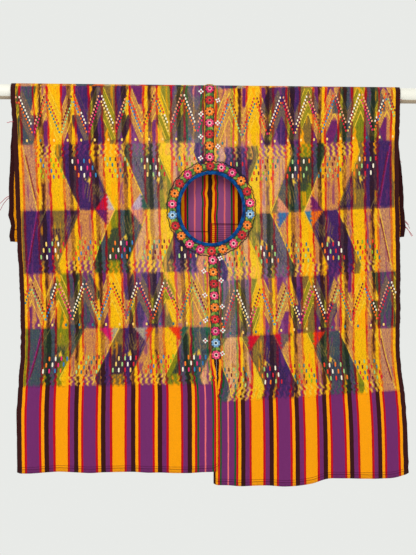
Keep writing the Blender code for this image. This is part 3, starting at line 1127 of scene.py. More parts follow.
def addFloats(side, finish):
    # one float is modelled as a block with its top drawn in, then copied over the panel
    floats = startPiece(f"inlay_{side}", bpy.ops.mesh.primitive_cube_add, size=1)
    bpy.ops.object.mode_set(mode="EDIT")
    bpy.ops.mesh.bevel(offset=0.2, segments=1, affect="EDGES")
    bpy.ops.object.mode_set(mode="OBJECT")
    mesh = floats.data
    block = np.array([v.co[:] for v in mesh.vertices])
    # the side against the cloth stays flat
    low = block[:, 2] < 0
    faces = [list(face.vertices) for face in mesh.polygons]
    places, colours, spots = [], [], []
    for a, d, size, name in floatsOf(side):
        d = d + rowSkew(side, np.array([a]), np.array([d]))[0]
        if not isClear(side, a, d):
            continue
        across = a + block[:, 0] * size[0]
        down = d + block[:, 1] * size[1]
        foot = cloth["wall"] / 2 + floatYarns["stand"]
        height = np.where(low, 0.0, floatYarns["height"])
        out = foot + height * (1 - 0.4 * (np.abs(block[:, 1]) > 0.45))
        out = np.where(low & (block[:, 2] > -0.45), foot + floatYarns["tuck"], out)
        places.append(hang(side, across / chart["panelWidth"], -down / 1000, out))
        spots.append(np.stack([across / chart["panelWidth"], (down + 170) / 860], axis=-1))
        colours.append(np.tile(toShare(threads[name]), (len(block), 1)))
    allFaces = [[i + len(block) * copy for i in face] for copy in range(len(places)) for face in faces]
    mesh.clear_geometry()
    mesh.from_pydata(np.concatenate(places), [], allFaces)
    setThreadColour(floats, np.concatenate(colours))
    spots = np.concatenate(spots)
    giveBakeMap(mesh, spots[:, 0], spots[:, 1], 0, (1, 1))
    faceOutwards(mesh)
    mesh.shade_smooth()
    finish.wear(floats)
    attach(floats, "root")
    print(floats.name, len(places), "floats", len(allFaces), "faces")


def giveBakeMap(mesh, u, v, cell, cells, axis=2):
    # a flat map for each vertex's u and v, 0 to 1, in one cell of a table; undersides take the last cell
    columns, rows = cells
    corners = cornersOf(mesh)
    normals = readAll(mesh.polygons, "normal", 3)
    away = normals[:, axis] * (1 if axis == 2 else -1) < -0.3
    cellOf = np.repeat(np.where(away, columns * rows - 1, cell), faceSizes(mesh))
    spots = np.stack([
        (cellOf % columns + 0.03 + 0.94 * np.clip(u, 0, 1)[corners]) / columns,
        (cellOf // columns + 0.01 + 0.98 * np.clip(v, 0, 1)[corners]) / rows,
    ], axis=-1)
    for old in list(mesh.uv_layers):
        mesh.uv_layers.remove(old)
    mesh.uv_layers.new(name="OFBake").data.foreach_set("uv", spots.ravel())


def faceOutwards(mesh):
    bm = bmesh.new()
    bm.from_mesh(mesh)
    bmesh.ops.recalc_face_normals(bm, faces=bm.faces)
    bm.to_mesh(mesh)
    bm.free()


def rampOf(stripes):
    # each stop's alpha is how far the weft covers that warp
    total = sum(width for _, width in stripes)
    hides = {"maroon": 0.94, "orange": 1.0, "red": 0.90, "purple": 0.97, "green": 0.86, "pink": 0.86}
    stops, at = [], 0.0
    for name, width in stripes:
        stops.append((at / total, (*toShare(warps[name]), hides[name])))
        at += width
    return total, stops


# colours are shares of what a screen shows, and places are in millimetres
weaveLook = {
    "fadedWarp": (0.93, 0.80, 0.90, 1),
    "palePurple": (0.86, 0.56, 0.66, 1),
    "goldLine": (1.0, 0.80, 0.24, 1),
    "khakiLine": (0.47, 0.42, 0.24, 1),
    "hairShadow": (0.05, 0.01, 0.03, 1),
    "mottleShadow": (0.10, 0.03, 0.06, 1),
    "mottleGlow": (1.0, 0.84, 0.44, 1),
    "fleckGlow": (1.0, 0.80, 0.44, 1),
    "fineGlow": (1.0, 0.86, 0.52, 1),
    "pickShadow": (0.03, 0.01, 0.02, 1),
    "headingThread": (0.16, 0.04, 0.10, 1),
    "mendThread": (0.60, 0.03, 0.10, 1),
    "hemThread": (0.14, 0.03, 0.08, 1),
    # distance from the zigzag's line, and half a thread's width
    "zigThreads": ((4.8, 1.15), (14.4, 1.1)),
    "edgeHalf": 1.25,
    "hatchFrom": 5.4,
    "hatchTo": 14.2,
    "hatchPitch": 3.1,
    "hatchWidth": 1.0,
    "lightWeft": 0.44,  # the least green of a light weft
    "pick": 2.3,  # from one weft to the next
    "rib": 1.05,  # from one warp to the next
    "seamX": 4.5,
    # below the pole, behind: the first and last heading line, their pitch and width
    "headings": (299, 338, 4.6, 1.3),
    "firstRight": (299, 302.5),
    "firstLeft": (317, 320),
    "mendFrom": 297,
    "mendInside": 48.5,
    # above the hem, and the square of half a thread's width
    "hemThreads": ((9.0, 0.8), (14.0, 0.5)),
}


def groundLook(finish, place):
    # the warps' colour, how much of the weft each one shows, and how far in the inner stripes start
    ends = [0.0]
    grounds, hides = [], []
    for stripes, count in ((outerStripes, 1), (repeatedStripes, repeats), (innerStripes, 1)):
        width, stops = rampOf(stripes)
        share = (place - ends[-1]) / width if ends[-1] else place / width
        settings = {"stops": stops, "interpolation": "CONSTANT"}
        made = finish.node("ShaderNodeValToRGB", settings, {"Fac": share % 1.0 if count > 1 else share})
        grounds.append(made)
        hides.append(finish.output(made, 1))
        ends.append(ends[-1] + count * width)
    inMiddle = place > ends[1]
    inInner = place > ends[2]
    ground = finish.mix(inInner, finish.mix(inMiddle, grounds[0], grounds[1]), grounds[2])
    hide = hides[0] * (1 - inMiddle) + hides[1] * inMiddle * (1 - inInner) + hides[2] * inInner
    return ground, hide, ends[2]


def clothFinish():
    # the ground stripes follow the cloth's own map, and the brocade is laid over them
    look = weaveLook
    finish = Finish("brocadedCotton", Specular_IOR_Level=0.12, Sheen_Weight=0.03)
    a, d, _ = finish.split(finish.node("ShaderNodeUVMap", {"uv_map": "cloth"}))
    a = a * 1000
    d = d * 1000
    drift, fade, rear = finish.split(finish.attribute("state"))
    weft = finish.attribute("weft")
    cover = finish.attribute("weft", out=3)
    fine = finish.noise(finish.join(a * 1.3, d * 0.05), 1.0, 3.0, 0.62)
    hair = finish.noise(finish.join(a * 2.4, d * 0.24), 1.0, 2.0, 0.6)
    mottle = finish.noise(finish.join(a * 0.30, d * 0.11), 1.0, 3.0, 0.7)
    fleck = finish.noise(finish.join(a * 0.62, d * 0.20), 1.0, 1.5, 0.55)
    place = a + (drift - 0.5) * 20 + (fine - 0.5) * 1.6
    ground, hide, innerStart = groundLook(finish, place)
    # warps near the neck have faded in the light, and the purple is paler inside
    ground = finish.mix(fade * 0.30 * (1 - rear), ground, look["fadedWarp"])
    purple = (hide > 0.95) * (hide < 0.985)
    ground = finish.mix(purple * rear * 0.32, ground, look["palePurple"])
    over = cover * (hide + (1 - hide) * finish.ease(cover, 0.80, 0.97))
    over = (over * (1 + (fine - 0.5) * 0.9 + (hair - 0.5) * 0.7)).clip()
    notOrange = over * (hide < 0.99)
    # thin gold lines along the zigzags and the birds' edges, and hatching in the zigzags' bands
    zig, slantEdge, drawn = finish.split(finish.attribute("lines"))
    _, weftGreen, _ = finish.split(weft)
    light = weftGreen > look["lightWeft"]
    wobble = (fine - 0.5) * 1.4
    p = abs(zig * 20)
    bands = 0
    for line, half in look["zigThreads"]:
        bands = bands + (abs(p - line + wobble) < half)
    hatch = (p > look["hatchFrom"]) * (p < look["hatchTo"])
    hatch = hatch * (((p + wobble) % look["hatchPitch"]) < look["hatchWidth"])
    edges = abs(slantEdge * 20 + wobble) < look["edgeHalf"]
    onLight = (bands + edges + hatch * 0.5).clip() * light * (drawn > 0.5) * over
    onDark = (bands * 0.45 + edges * 0.8 + hatch * 0.35).clip() * (1 - light) * (drawn > 0.5) * over
    pick = (d * (2 * pi / look["pick"])).sine()
    # heading lines where the back panels were begun, a mend beside the seam, and thread along the hem
    behind = d * -1 - bendLength * 1000
    x, _, _ = finish.split(finish.place())
    onRight = x > look["seamX"] / 1000
    start, end, pitch, width = look["headings"]
    ribs = (behind > start) * (behind < end) * (((behind - start) % pitch) < width) * onRight
    firstLine = 0
    for (start, end), here in ((look["firstRight"], onRight), (look["firstLeft"], 1 - onRight)):
        firstLine = firstLine + (behind > start) * (behind < end) * here
    heading = (ribs * 0.38 + firstLine.clip() * 0.45).clip()
    mend = (behind > look["mendFrom"]) * (place > innerStart + look["mendInside"]) * onRight
    fromHem = finish.attribute("fromHem", out=2) * 1000
    hem = 0
    for height, width in look["hemThreads"]:
        hem = hem + ((fromHem - height) * (fromHem - height) < width)
    # each layer covers what lies before it: share, colour and way of mixing
    layers = (
        (over, weft, "MIX"),
        (onLight * 0.92, look["goldLine"], "MIX"),
        (onDark * 0.75, look["khakiLine"], "MIX"),
        ((hair - 0.48).clip() * (0.4 + 1.1 * over), look["hairShadow"], "MIX"),
        ((mottle - 0.52).clip() * 1.5 * over, look["mottleShadow"], "MIX"),
        ((0.50 - mottle).clip() * 2.0 * over, look["mottleGlow"], "SOFT_LIGHT"),
        (((fleck - 0.56) * 5.0).clip() * 0.62 * notOrange, ground, "MIX"),
        (((0.45 - fleck) * 6.0).clip() * 0.75 * notOrange, look["fleckGlow"], "OVERLAY"),
        ((0.52 - fine).clip() * 1.1 * over, look["fineGlow"], "SOFT_LIGHT"),
        (0.03 + 0.03 * pick, look["pickShadow"], "MIX"),
        (heading, look["headingThread"], "MIX"),
        ((mend * (0.55 + fine)).clip() * 0.9, look["mendThread"], "MIX"),
        (hem.clip() * 0.35, look["hemThread"], "MIX"),
    )
    colour = ground
    for share, layer, blend in layers:
        colour = finish.mix(share, colour, layer, blend)
    finish.paint(colour)
    finish.shade("Roughness", 0.95 - over * 0.12)
    rib = (a * (2 * pi / look["rib"])).sine()
    weave = rib * 0.5 * (1 - over) + pick * (0.25 + 0.5 * over) + hair * 1.4 + fine * over + over * 1.8
    finish.bump(weave, 0.00035, 0.9)
    return finish


panelGrid = {
    "columns": 248,
    "plainStep": 0.0120,
    "fineStep": 0.0046,
    "fineUntil": 0.694,
    "bendSteps": 20,
    "backFineUntil": 0.100,
    # the shortest fall behind and in front, which the steps are counted over
    "backHem": 0.345,
    "frontHem": 0.873,
    # lines on both sides of a row's edge, and how near no other line may lie
    "rowEdge": 0.0005,
    "rowClear": 0.0022,
}


def rowStations(side, whichPart):
    # lines of the grid from the hem up: shares of a stretch, or levels that follow the rows
    if whichPart == "back":
        fine = int(panelGrid["backFineUntil"] / panelGrid["fineStep"])
        hem = panelGrid["backHem"]
        plain = int((hem - panelGrid["backFineUntil"]) / panelGrid["plainStep"])
        split = panelGrid["backFineUntil"] / hem
        near = split * np.arange(fine) / fine
        far = split + (1 - split) * np.arange(plain + 1) / plain
        return [("back", share) for share in np.concatenate([near, far])]
    plain = int((panelGrid["frontHem"] - panelGrid["fineUntil"]) / panelGrid["plainStep"])
    levels = list(np.arange(panelGrid["fineUntil"], 0.003, -panelGrid["fineStep"]))
    for row in rowsOf[side]:
        edge = row["bottom"] / 1000
        if edge > 0.010:
            levels = [level for level in levels if abs(level - edge) > panelGrid["rowClear"]]
            levels += [edge - panelGrid["rowEdge"], edge + panelGrid["rowEdge"]]
    bend = np.arange(panelGrid["bendSteps"] + 1) / panelGrid["bendSteps"]
    return (
        [("plain", share) for share in np.arange(plain) / plain]
        + [("level", level) for level in sorted(levels, reverse=True)]
        + [("bend", share) for share in bend]
    )


def levelDrop(side, share, level):
    # the rows run askew across the panel, but straighten over the pole
    skew = rowSkew(side, share * chart["panelWidth"], level * 1050) / 1000
    return level + skew * ease(0.0, 0.10, level)


def stationTravel(side, share, kind, amount, frontHem, backHem):
    if kind == "plain":
        top = levelDrop(side, share, panelGrid["fineUntil"])
        return -(frontHem + (top - frontHem) * amount)
    if kind == "level":
        return -levelDrop(side, share, amount)
    if kind == "bend":
        return bendLength * amount + 0 * frontHem
    return bendLength + backHem * amount


def addPanelPiece(side, whichPart, finish):
    stations = rowStations(side, whichPart)
    size = {"x_subdivisions": panelGrid["columns"], "y_subdivisions": len(stations) - 1, "size": 1}
    piece = startPiece(f"cloth_{side}_{whichPart}", bpy.ops.mesh.primitive_grid_add, **size)
    mesh = piece.data
    count = len(mesh.vertices)
    flat = readAll(mesh.vertices, "co", 3)
    share = flat[:, 0] + 0.5
    row = np.rint((flat[:, 1] + 0.5) * (len(stations) - 1)).astype(int)
    # the hem's corners are rounded off
    rounding = 0.0045 * np.clip((share - 0.972) / 0.028, 0, 1) ** 2.2
    rounding = rounding + 0.003 * np.clip((0.02 - share) / 0.02, 0, 1) ** 2
    wander = 0.0018 * (softNoise(share * 14, share * 0, 7.0) - 0.5)
    frontHem = readTable(hems[side], 1, share) - rounding + wander
    backHem = readTable(hems[side], 2, share) + wander
    travel = np.empty(count)
    for i, (kind, amount) in enumerate(stations):
        here = row == i
        travel[here] = stationTravel(side, share[here], kind, amount, frontHem[here], backHem[here])
    places = hang(side, share, travel)
    # the neck: faces inside it go, and the verts left on its edge are pulled onto it
    aroundX = (places[:, 0] - neck["x"]) / neck["halfWidth"]
    aroundZ = (places[:, 2] + neck["drop"]) / neck["halfHeight"]
    inNeck = (np.hypot(aroundX, aroundZ) < 1) & (travel < 0)
    mesh.vertices.foreach_set("co", places.ravel())
    toHem = frontHem + travel if whichPart == "front" else backHem + bendLength - travel
    a = share * chart["panelWidth"]
    d = -travel * 1000
    fade = ease(215, 330, a) * ease(20, 120, d) * (1 - ease(520, 620, d))
    state = np.stack([0.5 + clothDrift(side, a, d) / 20, fade, np.zeros(count)], axis=-1)
    for name, kind, field, values in (
        ("weft", "FLOAT_COLOR", "color", weaveChart(side, share, d)),
        ("state", "FLOAT_VECTOR", "vector", state),
        ("lines", "FLOAT_VECTOR", "vector", lineChart(side, share, d)),
        ("fromHem", "FLOAT", "value", toHem),
    ):
        mesh.attributes.new(name, kind, "POINT").data.foreach_set(field, values.ravel())
    # keep the faces' own map in step with the cloth
    spots = np.stack([share * stripeReach(side, travel) / 1000, d / 1000], axis=-1)
    mesh.uv_layers[0].name = "cloth"
    mesh.uv_layers["cloth"].data.foreach_set("uv", spots[cornersOf(mesh)].ravel())
    if whichPart == "front":
        cutNeck(piece, inNeck)
    thicken(piece, side)
    finish.wear(piece)
    mesh.shade_smooth()
    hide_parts(f"panel_{side}")
    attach(piece, "root")
    print(piece.name, len(piece.data.polygons), "faces")
    return piece


def cutNeck(piece, inNeck):
    bm = bmesh.new()
    bm.from_mesh(piece.data)
    bm.verts.ensure_lookup_table()
    gone = [face for face in bm.faces if sum(inNeck[v.index] for v in face.verts) >= 2]
    rim = {v for face in gone for v in face.verts}
    bmesh.ops.delete(bm, geom=gone, context="FACES")
    for v in rim:
        if v.is_valid and v.link_faces:
            dx = v.co.x - neck["x"]
            dz = v.co.z + neck["drop"]
            size = hypot(dx / neck["halfWidth"], dz / neck["halfHeight"])
            onSeam = any(len(e.link_faces) == 1 for e in v.link_edges) and abs(dx) < 0.004
            if not onSeam:
                v.co.x = neck["x"] + dx / size
            v.co.z = -neck["drop"] + dz / size
    bm.to_mesh(piece.data)
    bm.free()


def thicken(piece, side):
    # gives the sheet its wall, then marks the inner face, where the brocade barely shows
    sheet = len(piece.data.vertices)
    wall = piece.modifiers.new("wall", "SOLIDIFY")
    wall.thickness = cloth["wall"]
    wall.offset = 0.0
    bpy.context.view_layer.objects.active = piece
    bpy.ops.object.modifier_apply(modifier=wall.name)
    mesh = piece.data
    count = len(mesh.vertices)
    places = readAll(mesh.vertices, "co", 3)
    outward = np.abs(places[:, 1]) + np.maximum(places[:, 2], 0)
    innerIsSecond = outward[:sheet].mean() > outward[sheet:].mean()
    inner = (np.arange(count) >= sheet) == innerIsSecond
    weft = mesh.attributes["weft"].data
    values = readAll(weft, "color", 4)
    values[inner, 3] *= 0.25
    weft.foreach_set("color", values.ravel())
    state = mesh.attributes["state"].data
    values = readAll(state, "vector", 3)
    values[inner, 1:] = (0.3, 1.0)
    state.foreach_set("vector", values.ravel())
    bakeClothMap(mesh, side, inner)


def bakeClothMap(mesh, side, inner):
    # the outer face fills one half of the map and the inner face the other, with the cut edges by the outer
    corners = cornersOf(mesh)
    a, d = readAll(mesh.uv_layers["cloth"].data, "uv", 2).T
    share = np.clip(a * 1000 / stripeReach(side, -d), 0, 1)
    sizes = faceSizes(mesh)
    starts = np.concatenate([[0], np.cumsum(sizes)[:-1]])
    innerCorner = inner[corners].astype(int)
    innerCount = np.repeat(np.add.reduceat(innerCorner, starts), sizes)
    faceSize = np.repeat(sizes, sizes)
    isRim = (innerCount > 0) & (innerCount < faceSize)
    level = (d.max() - d) / (d.max() - d.min())
    u = 0.006 + 0.484 * share + np.where(innerCount == faceSize, 0.504, 0.0)
    v = 0.006 + 0.988 * level
    # corners of the cut edges on the inner face are pushed off the outline
    toNeckU, toNeckV = 1.0 - share, (d - neck["drop"]) * -1
    length = np.maximum(np.hypot(toNeckU, toNeckV), 1e-6)
    pushU, pushV = toNeckU / length, toNeckV / length
    for near, du, dv in (
        (share < 0.002, -1, 0),
        (share > 0.998, 1, 0),
        (level < 0.002, 0, -1),
        (level > 0.998, 0, 1),
    ):
        pushU, pushV = np.where(near, du, pushU), np.where(near, dv, pushV)
    pushed = isRim & (innerCorner > 0)
    u = u + np.where(pushed, 0.0035 * pushU, 0)
    v = v + np.where(pushed, 0.0035 * pushV, 0)
    mesh.uv_layers.new(name="OFBake").data.foreach_set("uv", np.stack([u, v], axis=-1).ravel())


# Embroidery: modelled flat as across, along and out, then laid on the cloth

flowerShape = {
    "radius": 0.0098,
    "petals": 8,
    "lobe": 0.085,
    "spokes": 48,
    # share of the radius, height in millimetres, lobes, colour: 0 petal, 1 pale ring, 2 eye
    "rings": (
        (1.00, 0.00, 1.0, 0),
        (1.02, 0.70, 1.0, 0),
        (0.90, 1.45, 1.0, 0),
        (0.72, 1.75, 0.8, 0),
        (0.54, 1.45, 0.5, 0),
        (0.46, 1.15, 0.2, 1),
        (0.34, 1.10, 0.0, 1),
        (0.26, 0.60, 0.0, 2),
        (0.14, 0.95, 0.0, 2),
    ),
}
silks = {
    "rose": ((236, 62, 110), (255, 190, 190), (30, 18, 18)),
    "magenta": ((205, 28, 96), (250, 150, 170), (60, 60, 30)),
    "garnet": ((178, 16, 30), (214, 60, 56), (40, 46, 24)),
    "orange": ((244, 112, 18), (255, 158, 74), (44, 22, 12)),
    "sky": ((110, 160, 205), (200, 226, 238), (20, 24, 30)),
    "red": ((206, 24, 34), (232, 84, 70), (40, 40, 24)),
}
leafGreens = ((72, 118, 40), (104, 142, 46), (48, 92, 38), (130, 158, 60))
whiteSilk = (252, 248, 240)
redSilk = (205, 24, 24)


def setThreadColour(piece, colours):
    # one colour for the piece, or one for each vertex
    data = piece.data.attributes.new("silk", "FLOAT_COLOR", "POINT").data
    values = np.ones((len(piece.data.vertices), 4))
    values[:, :3] = colours
    data.foreach_set("color", values.ravel())


def closeBelow():
    # in edit mode: the open edge underneath becomes one flat face
    bpy.ops.mesh.select_all(action="SELECT")
    bpy.ops.mesh.fill_holes(sides=0)


def modelFlower():
    # rings are extruded inwards from a circle, and shaped into petals; radius 1
    shape = flowerShape
    spokes = shape["spokes"]
    flower = startPiece("flowerModel", bpy.ops.mesh.primitive_circle_add, vertices=spokes, radius=1)
    bpy.ops.object.mode_set(mode="EDIT")
    for _ in shape["rings"][1:]:
        bpy.ops.mesh.extrude_edges_move()
        bpy.ops.transform.resize(value=(0.9, 0.9, 1))
    closeBelow()
    bpy.ops.object.mode_set(mode="OBJECT")
    tones = []
    for i, v in enumerate(flower.data.vertices):
        level, spoke = divmod(i, spokes)
        share, height, lobes, tone = shape["rings"][level]
        turn = 2 * pi * spoke / spokes
        lobe = cos(shape["petals"] * turn)
        cleft = max(0.0, -lobe) ** 3
        reach = share * (1 + shape["lobe"] * lobes * lobe)
        v.co = (reach * sin(turn), reach * cos(turn), 0.001 * height * (1 - 0.45 * lobes * cleft))
        tones.append((tone, 1 - 0.42 * cleft * lobes))
    return flower, tones


def modelLeaf():
    # a grid drawn to a point at both ends, with a vein down its middle; one unit long and wide
    size = {"x_subdivisions": 6, "y_subdivisions": 8, "size": 1}
    leaf = startPiece("leafModel", bpy.ops.mesh.primitive_grid_add, **size)
    bpy.ops.object.mode_set(mode="EDIT")
    closeBelow()
    bpy.ops.object.mode_set(mode="OBJECT")
    tones = []
    for v in leaf.data.vertices:
        s, t = v.co.x * 2, v.co.y + 0.5
        belly = sin(pi * min(1.0, t * 0.96 + 0.02)) ** 0.75
        crown = max(0.0, 1 - s * s) ** 0.5
        vein = 1 - 0.45 * max(0.0, 1 - abs(s) * 4)
        v.co = (s / 2 * belly, t - 0.5, crown * belly * vein)
        tones.append((0, 0.75 + 0.25 * vein))
    return leaf, tones


def copyOf(model, colours):
    # a copy with a mesh of its own; colours are for the model's tones
    source, tones = model
    piece = source.copy()
    piece.data = source.data.copy()
    bpy.context.scene.collection.objects.link(piece)
    table = [toShare(colour) for colour in colours]
    setThreadColour(piece, np.array([[c * dim for c in table[tone]] for tone, dim in tones]))
    return piece


def placeFlat(piece, across, along, out, turn=0.0, size=(1, 1, 1)):
    # sizes a flat motif, turns it clockwise and moves it to its place in the flat
    c, s = cos(turn), sin(turn)
    for v in piece.data.vertices:
        x, y, z = v.co.x * size[0], v.co.y * size[1], v.co.z * size[2]
        v.co = (across + x * c + y * s, along - x * s + y * c, out + z)


def joinPieces(name, parts):
    bpy.ops.object.select_all(action="DESELECT")
    for part in parts:
        part.select_set(True)
    bpy.context.view_layer.objects.active = parts[0]
    bpy.ops.object.join()
    joined = bpy.context.object
    joined.name = name
    joined.data.name = name
    return joined


def layOn(piece, place):
    # place takes arrays of across, along and out, and gives points
    mesh = piece.data
    flat = readAll(mesh.vertices, "co", 3)
    mesh.vertices.foreach_set("co", place(*flat.T).ravel())
    mesh.update()
    faceOutwards(mesh)
    mesh.shade_smooth()


ring = {
    "flowers": 22,
    "centre": 0.0165,  # beyond the cut edge
    "start": 0.0062,
    "end": 0.0268,
    "leafLength": 0.0105,
    "leafWidth": 0.0052,
    "leafHeight": 0.0011,
    "base": 0.0008,
    "basePinch": 0.0052,  # how far its edge draws in between two flowers
    "underside": 0.00035,
    "edge": 0.0275,  # where the strips begin, beyond the cut edge
    # how far out each leaf of three stands, and its lean
    "leaves": ((0.0045, 0.5), (-0.0045, -0.5), (0.0, 1.57)),
}
# clockwise from the top
ringSilks = (
    "garnet", "rose", "magenta", "orange", "garnet", "rose", "sky", "orange", "garnet", "rose", "orange",
    "red", "magenta", "rose", "orange", "garnet", "sky", "rose", "orange", "garnet", "magenta", "orange",
)
# how far round each stands, in degrees
ringTurns = (
    -2.1, 14.4, 31.6, 48.9, 65.8, 81.7, 97.0, 112.4, 127.8, 144.6, 162.2,
    178.9, 195.5, 212.8, 229.3, 245.6, 260.6, 275.6, 290.4, 305.6, 322.4, 339.6,
)
strip = {
    "width": 0.0225,
    "upperPitch": 0.0262,
    "lowerPitch": 0.0272,
    "flowerRadius": 0.0098,
    "flowers": 9,
    "leafLength": 0.0100,
    "leafWidth": 0.0050,
    "basePinch": 0.0012,
    "mapHalf": 0.0125,
    # which side each leaf of four stands, and its lean
    "leaves": ((-1, 0.6), (1, -0.6), (-0.35, 0.2), (0.35, -0.2)),
}
upperSilks = ("rose", "orange", "garnet", "rose", "orange", "garnet", "magenta", "orange", "rose")
lowerSilks = ("rose", "orange", "garnet", "rose", "orange", "red", "magenta", "sky", "rose")


def makeBase(columns, rows, across, along, height, colourOf):
    # a thin strip of ground stitches; across and along give the flat places
    size = {"x_subdivisions": columns, "y_subdivisions": rows, "size": 1}
    base = startPiece("base", bpy.ops.mesh.primitive_grid_add, **size)
    colours = []
    for v in base.data.vertices:
        s, t = v.co.x + 0.5, v.co.y + 0.5
        edge = 1 - abs(2 * s - 1) ** 6
        v.co = (across(s, t), along(t), height * (0.45 + 0.55 * edge))
        colours.append(colourOf(s, t))
    setThreadColour(base, np.array(colours))
    return base


def closeBase(base, thickness):
    # joins the ends where they meet and gives the strip its underside
    bpy.ops.object.select_all(action="DESELECT")
    base.select_set(True)
    bpy.context.view_layer.objects.active = base
    bpy.ops.object.mode_set(mode="EDIT")
    bpy.ops.mesh.select_all(action="SELECT")
    bpy.ops.mesh.remove_doubles(threshold=0.00002)
    bpy.ops.object.mode_set(mode="OBJECT")
    wall = base.modifiers.new("underside", "SOLIDIFY")
    wall.thickness = thickness
    wall.offset = -1 if base.data.polygons[0].normal.y < 0 else 1
    bpy.ops.object.modifier_apply(modifier=wall.name)
    faceOutwards(base.data)
    base.data.shade_smooth()


def stitchedGreen(s, t, count):
    # dark ground between leaves, green through the middle
    wave = 0.5 + 0.5 * sin(t * count * 2 * pi * 4 + s * 9)
    middle = max(0.0, 1 - abs(2 * s - 1) * 1.15)
    dark, green = toShare((50, 34, 28)), toShare((58, 92, 40))
    share = min(1.0, middle * 1.3) * (0.55 + 0.45 * wave)
    return [a + (b - a) * share for a, b in zip(dark, green)]


def silkFinish():
    finish = Finish("embroiderySilk", roughness=0.5, Sheen_Weight=0.05, Specular_IOR_Level=0.25)
    place = finish.place()
    silk = finish.attribute("silk")
    strands = finish.noise(place, 900.0, 2.0, 0.6)
    wide = finish.noise(place, 160.0, 2.0, 0.5)
    colour = finish.mix(0.22 * strands, silk, (0.06, 0.02, 0.03, 1))
    colour = finish.mix((wide - 0.42).clip() * 1.6, colour, (1.0, 0.93, 0.82, 1), blend="SOFT_LIGHT")
    finish.paint(colour)
    finish.shade("Roughness", 0.42 + 0.3 * strands)
    finish.bump(strands + wide * 0.5, 0.0003, 0.7)
    return finish


def betweenFlowers(turn):
    # 0 at a flower of the ring and 1 halfway to the next
    turns = [radians(angle) for angle in ringTurns] + [radians(ringTurns[0]) + 2 * pi]
    turn = turn if turn < turns[-1] else turn - 2 * pi
    for before, after in zip(turns, turns[1:]):
        if before <= turn <= after:
            return 0.5 - 0.5 * cos(2 * pi * (turn - before) / (after - before))
    return 0.0


def ringMap(piece, cell):
    # base, flowers and leaves each have a quarter of the ring's map, seen from the front
    flat = readAll(piece.data.vertices, "co", 3)
    span = 2 * (neck["halfHeight"] + 0.030)
    u = (flat[:, 0] - neck["x"]) / span + 0.5
    v = (flat[:, 2] + neck["drop"]) / span + 0.5
    giveBakeMap(piece.data, u, v, cell, (2, 2), axis=1)


def stripMap(piece, cell, start, length, halfWidth):
    # base, flowers and leaves each have a lane of the strip's map, before they are laid on the cloth
    flat = readAll(piece.data.vertices, "co", 3)
    giveBakeMap(piece.data, flat[:, 0] / halfWidth / 2 + 0.5, (flat[:, 1] - start) / length, cell, (4, 1))


def addRing(silk):
    stand = cloth["wall"] / 2 + cloth["fit"]

    def acrossRing(s, t):
        end = ring["end"] - ring["basePinch"] * betweenFlowers(t * 2 * pi)
        return ring["start"] + (end - ring["start"]) * s

    base = makeBase(
        6, 264, acrossRing, lambda t: t * 2 * pi, ring["base"],
        lambda s, t: stitchedGreen(s, t, ring["flowers"]),
    )
    layOn(base, lambda across, along, out: hangNeck(along, across, stand + out))
    closeBase(base, ring["underside"])
    ringMap(base, 0)
    parts = [base]

    def placeRound(centre, beyond):
        def place(across, along, out):
            x, _, z = hangNeck(np.array([centre]), np.array([beyond]), np.array([0.0]))[0]
            radialX, radialZ = sin(centre), cos(centre)
            worldX = x + across * radialZ + along * radialX
            worldZ = z - across * radialX + along * radialZ
            return np.stack([worldX, -bendRadius - stand - ring["base"] - out, worldZ], axis=-1)
        return place

    turns = [radians(angle) for angle in ringTurns]
    turns.append(turns[0] + 2 * pi)
    for k in range(ring["flowers"]):
        jitter = scatter(k, 3.0)
        flower = copyOf(flowerModel, silks[ringSilks[k]])
        wide = flowerShape["radius"] * (0.93 + 0.08 * jitter)
        tall = flowerShape["radius"] * (0.95 + 0.08 * scatter(k, 5.0))
        placeFlat(flower, 0.0, 0.0, 0.0, 6 * jitter, (wide, tall, 1))
        layOn(flower, placeRound(turns[k], ring["centre"]))
        ringMap(flower, 1)
        parts.append(flower)
        size = (ring["leafWidth"], ring["leafLength"], ring["leafHeight"])
        halfway = (turns[k] + turns[k + 1]) / 2
        for j, (lift, lean) in enumerate(ring["leaves"]):
            leaf = copyOf(leafModel, (leafGreens[(k + j) % len(leafGreens)],))
            placeFlat(leaf, 0.0, lift, 0.0, lean + 1.57, size)
            layOn(leaf, placeRound(halfway, ring["centre"] - 0.0010))
            ringMap(leaf, 2)
            parts.append(leaf)
    ringPiece = joinPieces("neckFlowerRing", parts)
    finishEmbroidery(ringPiece, silk, "neck_flower_band")
    print("flower ring", len(ringPiece.data.polygons), "faces")


def finishEmbroidery(piece, finish, node):
    finish.wear(piece)
    if node:
        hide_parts(node)
    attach(piece, "root")


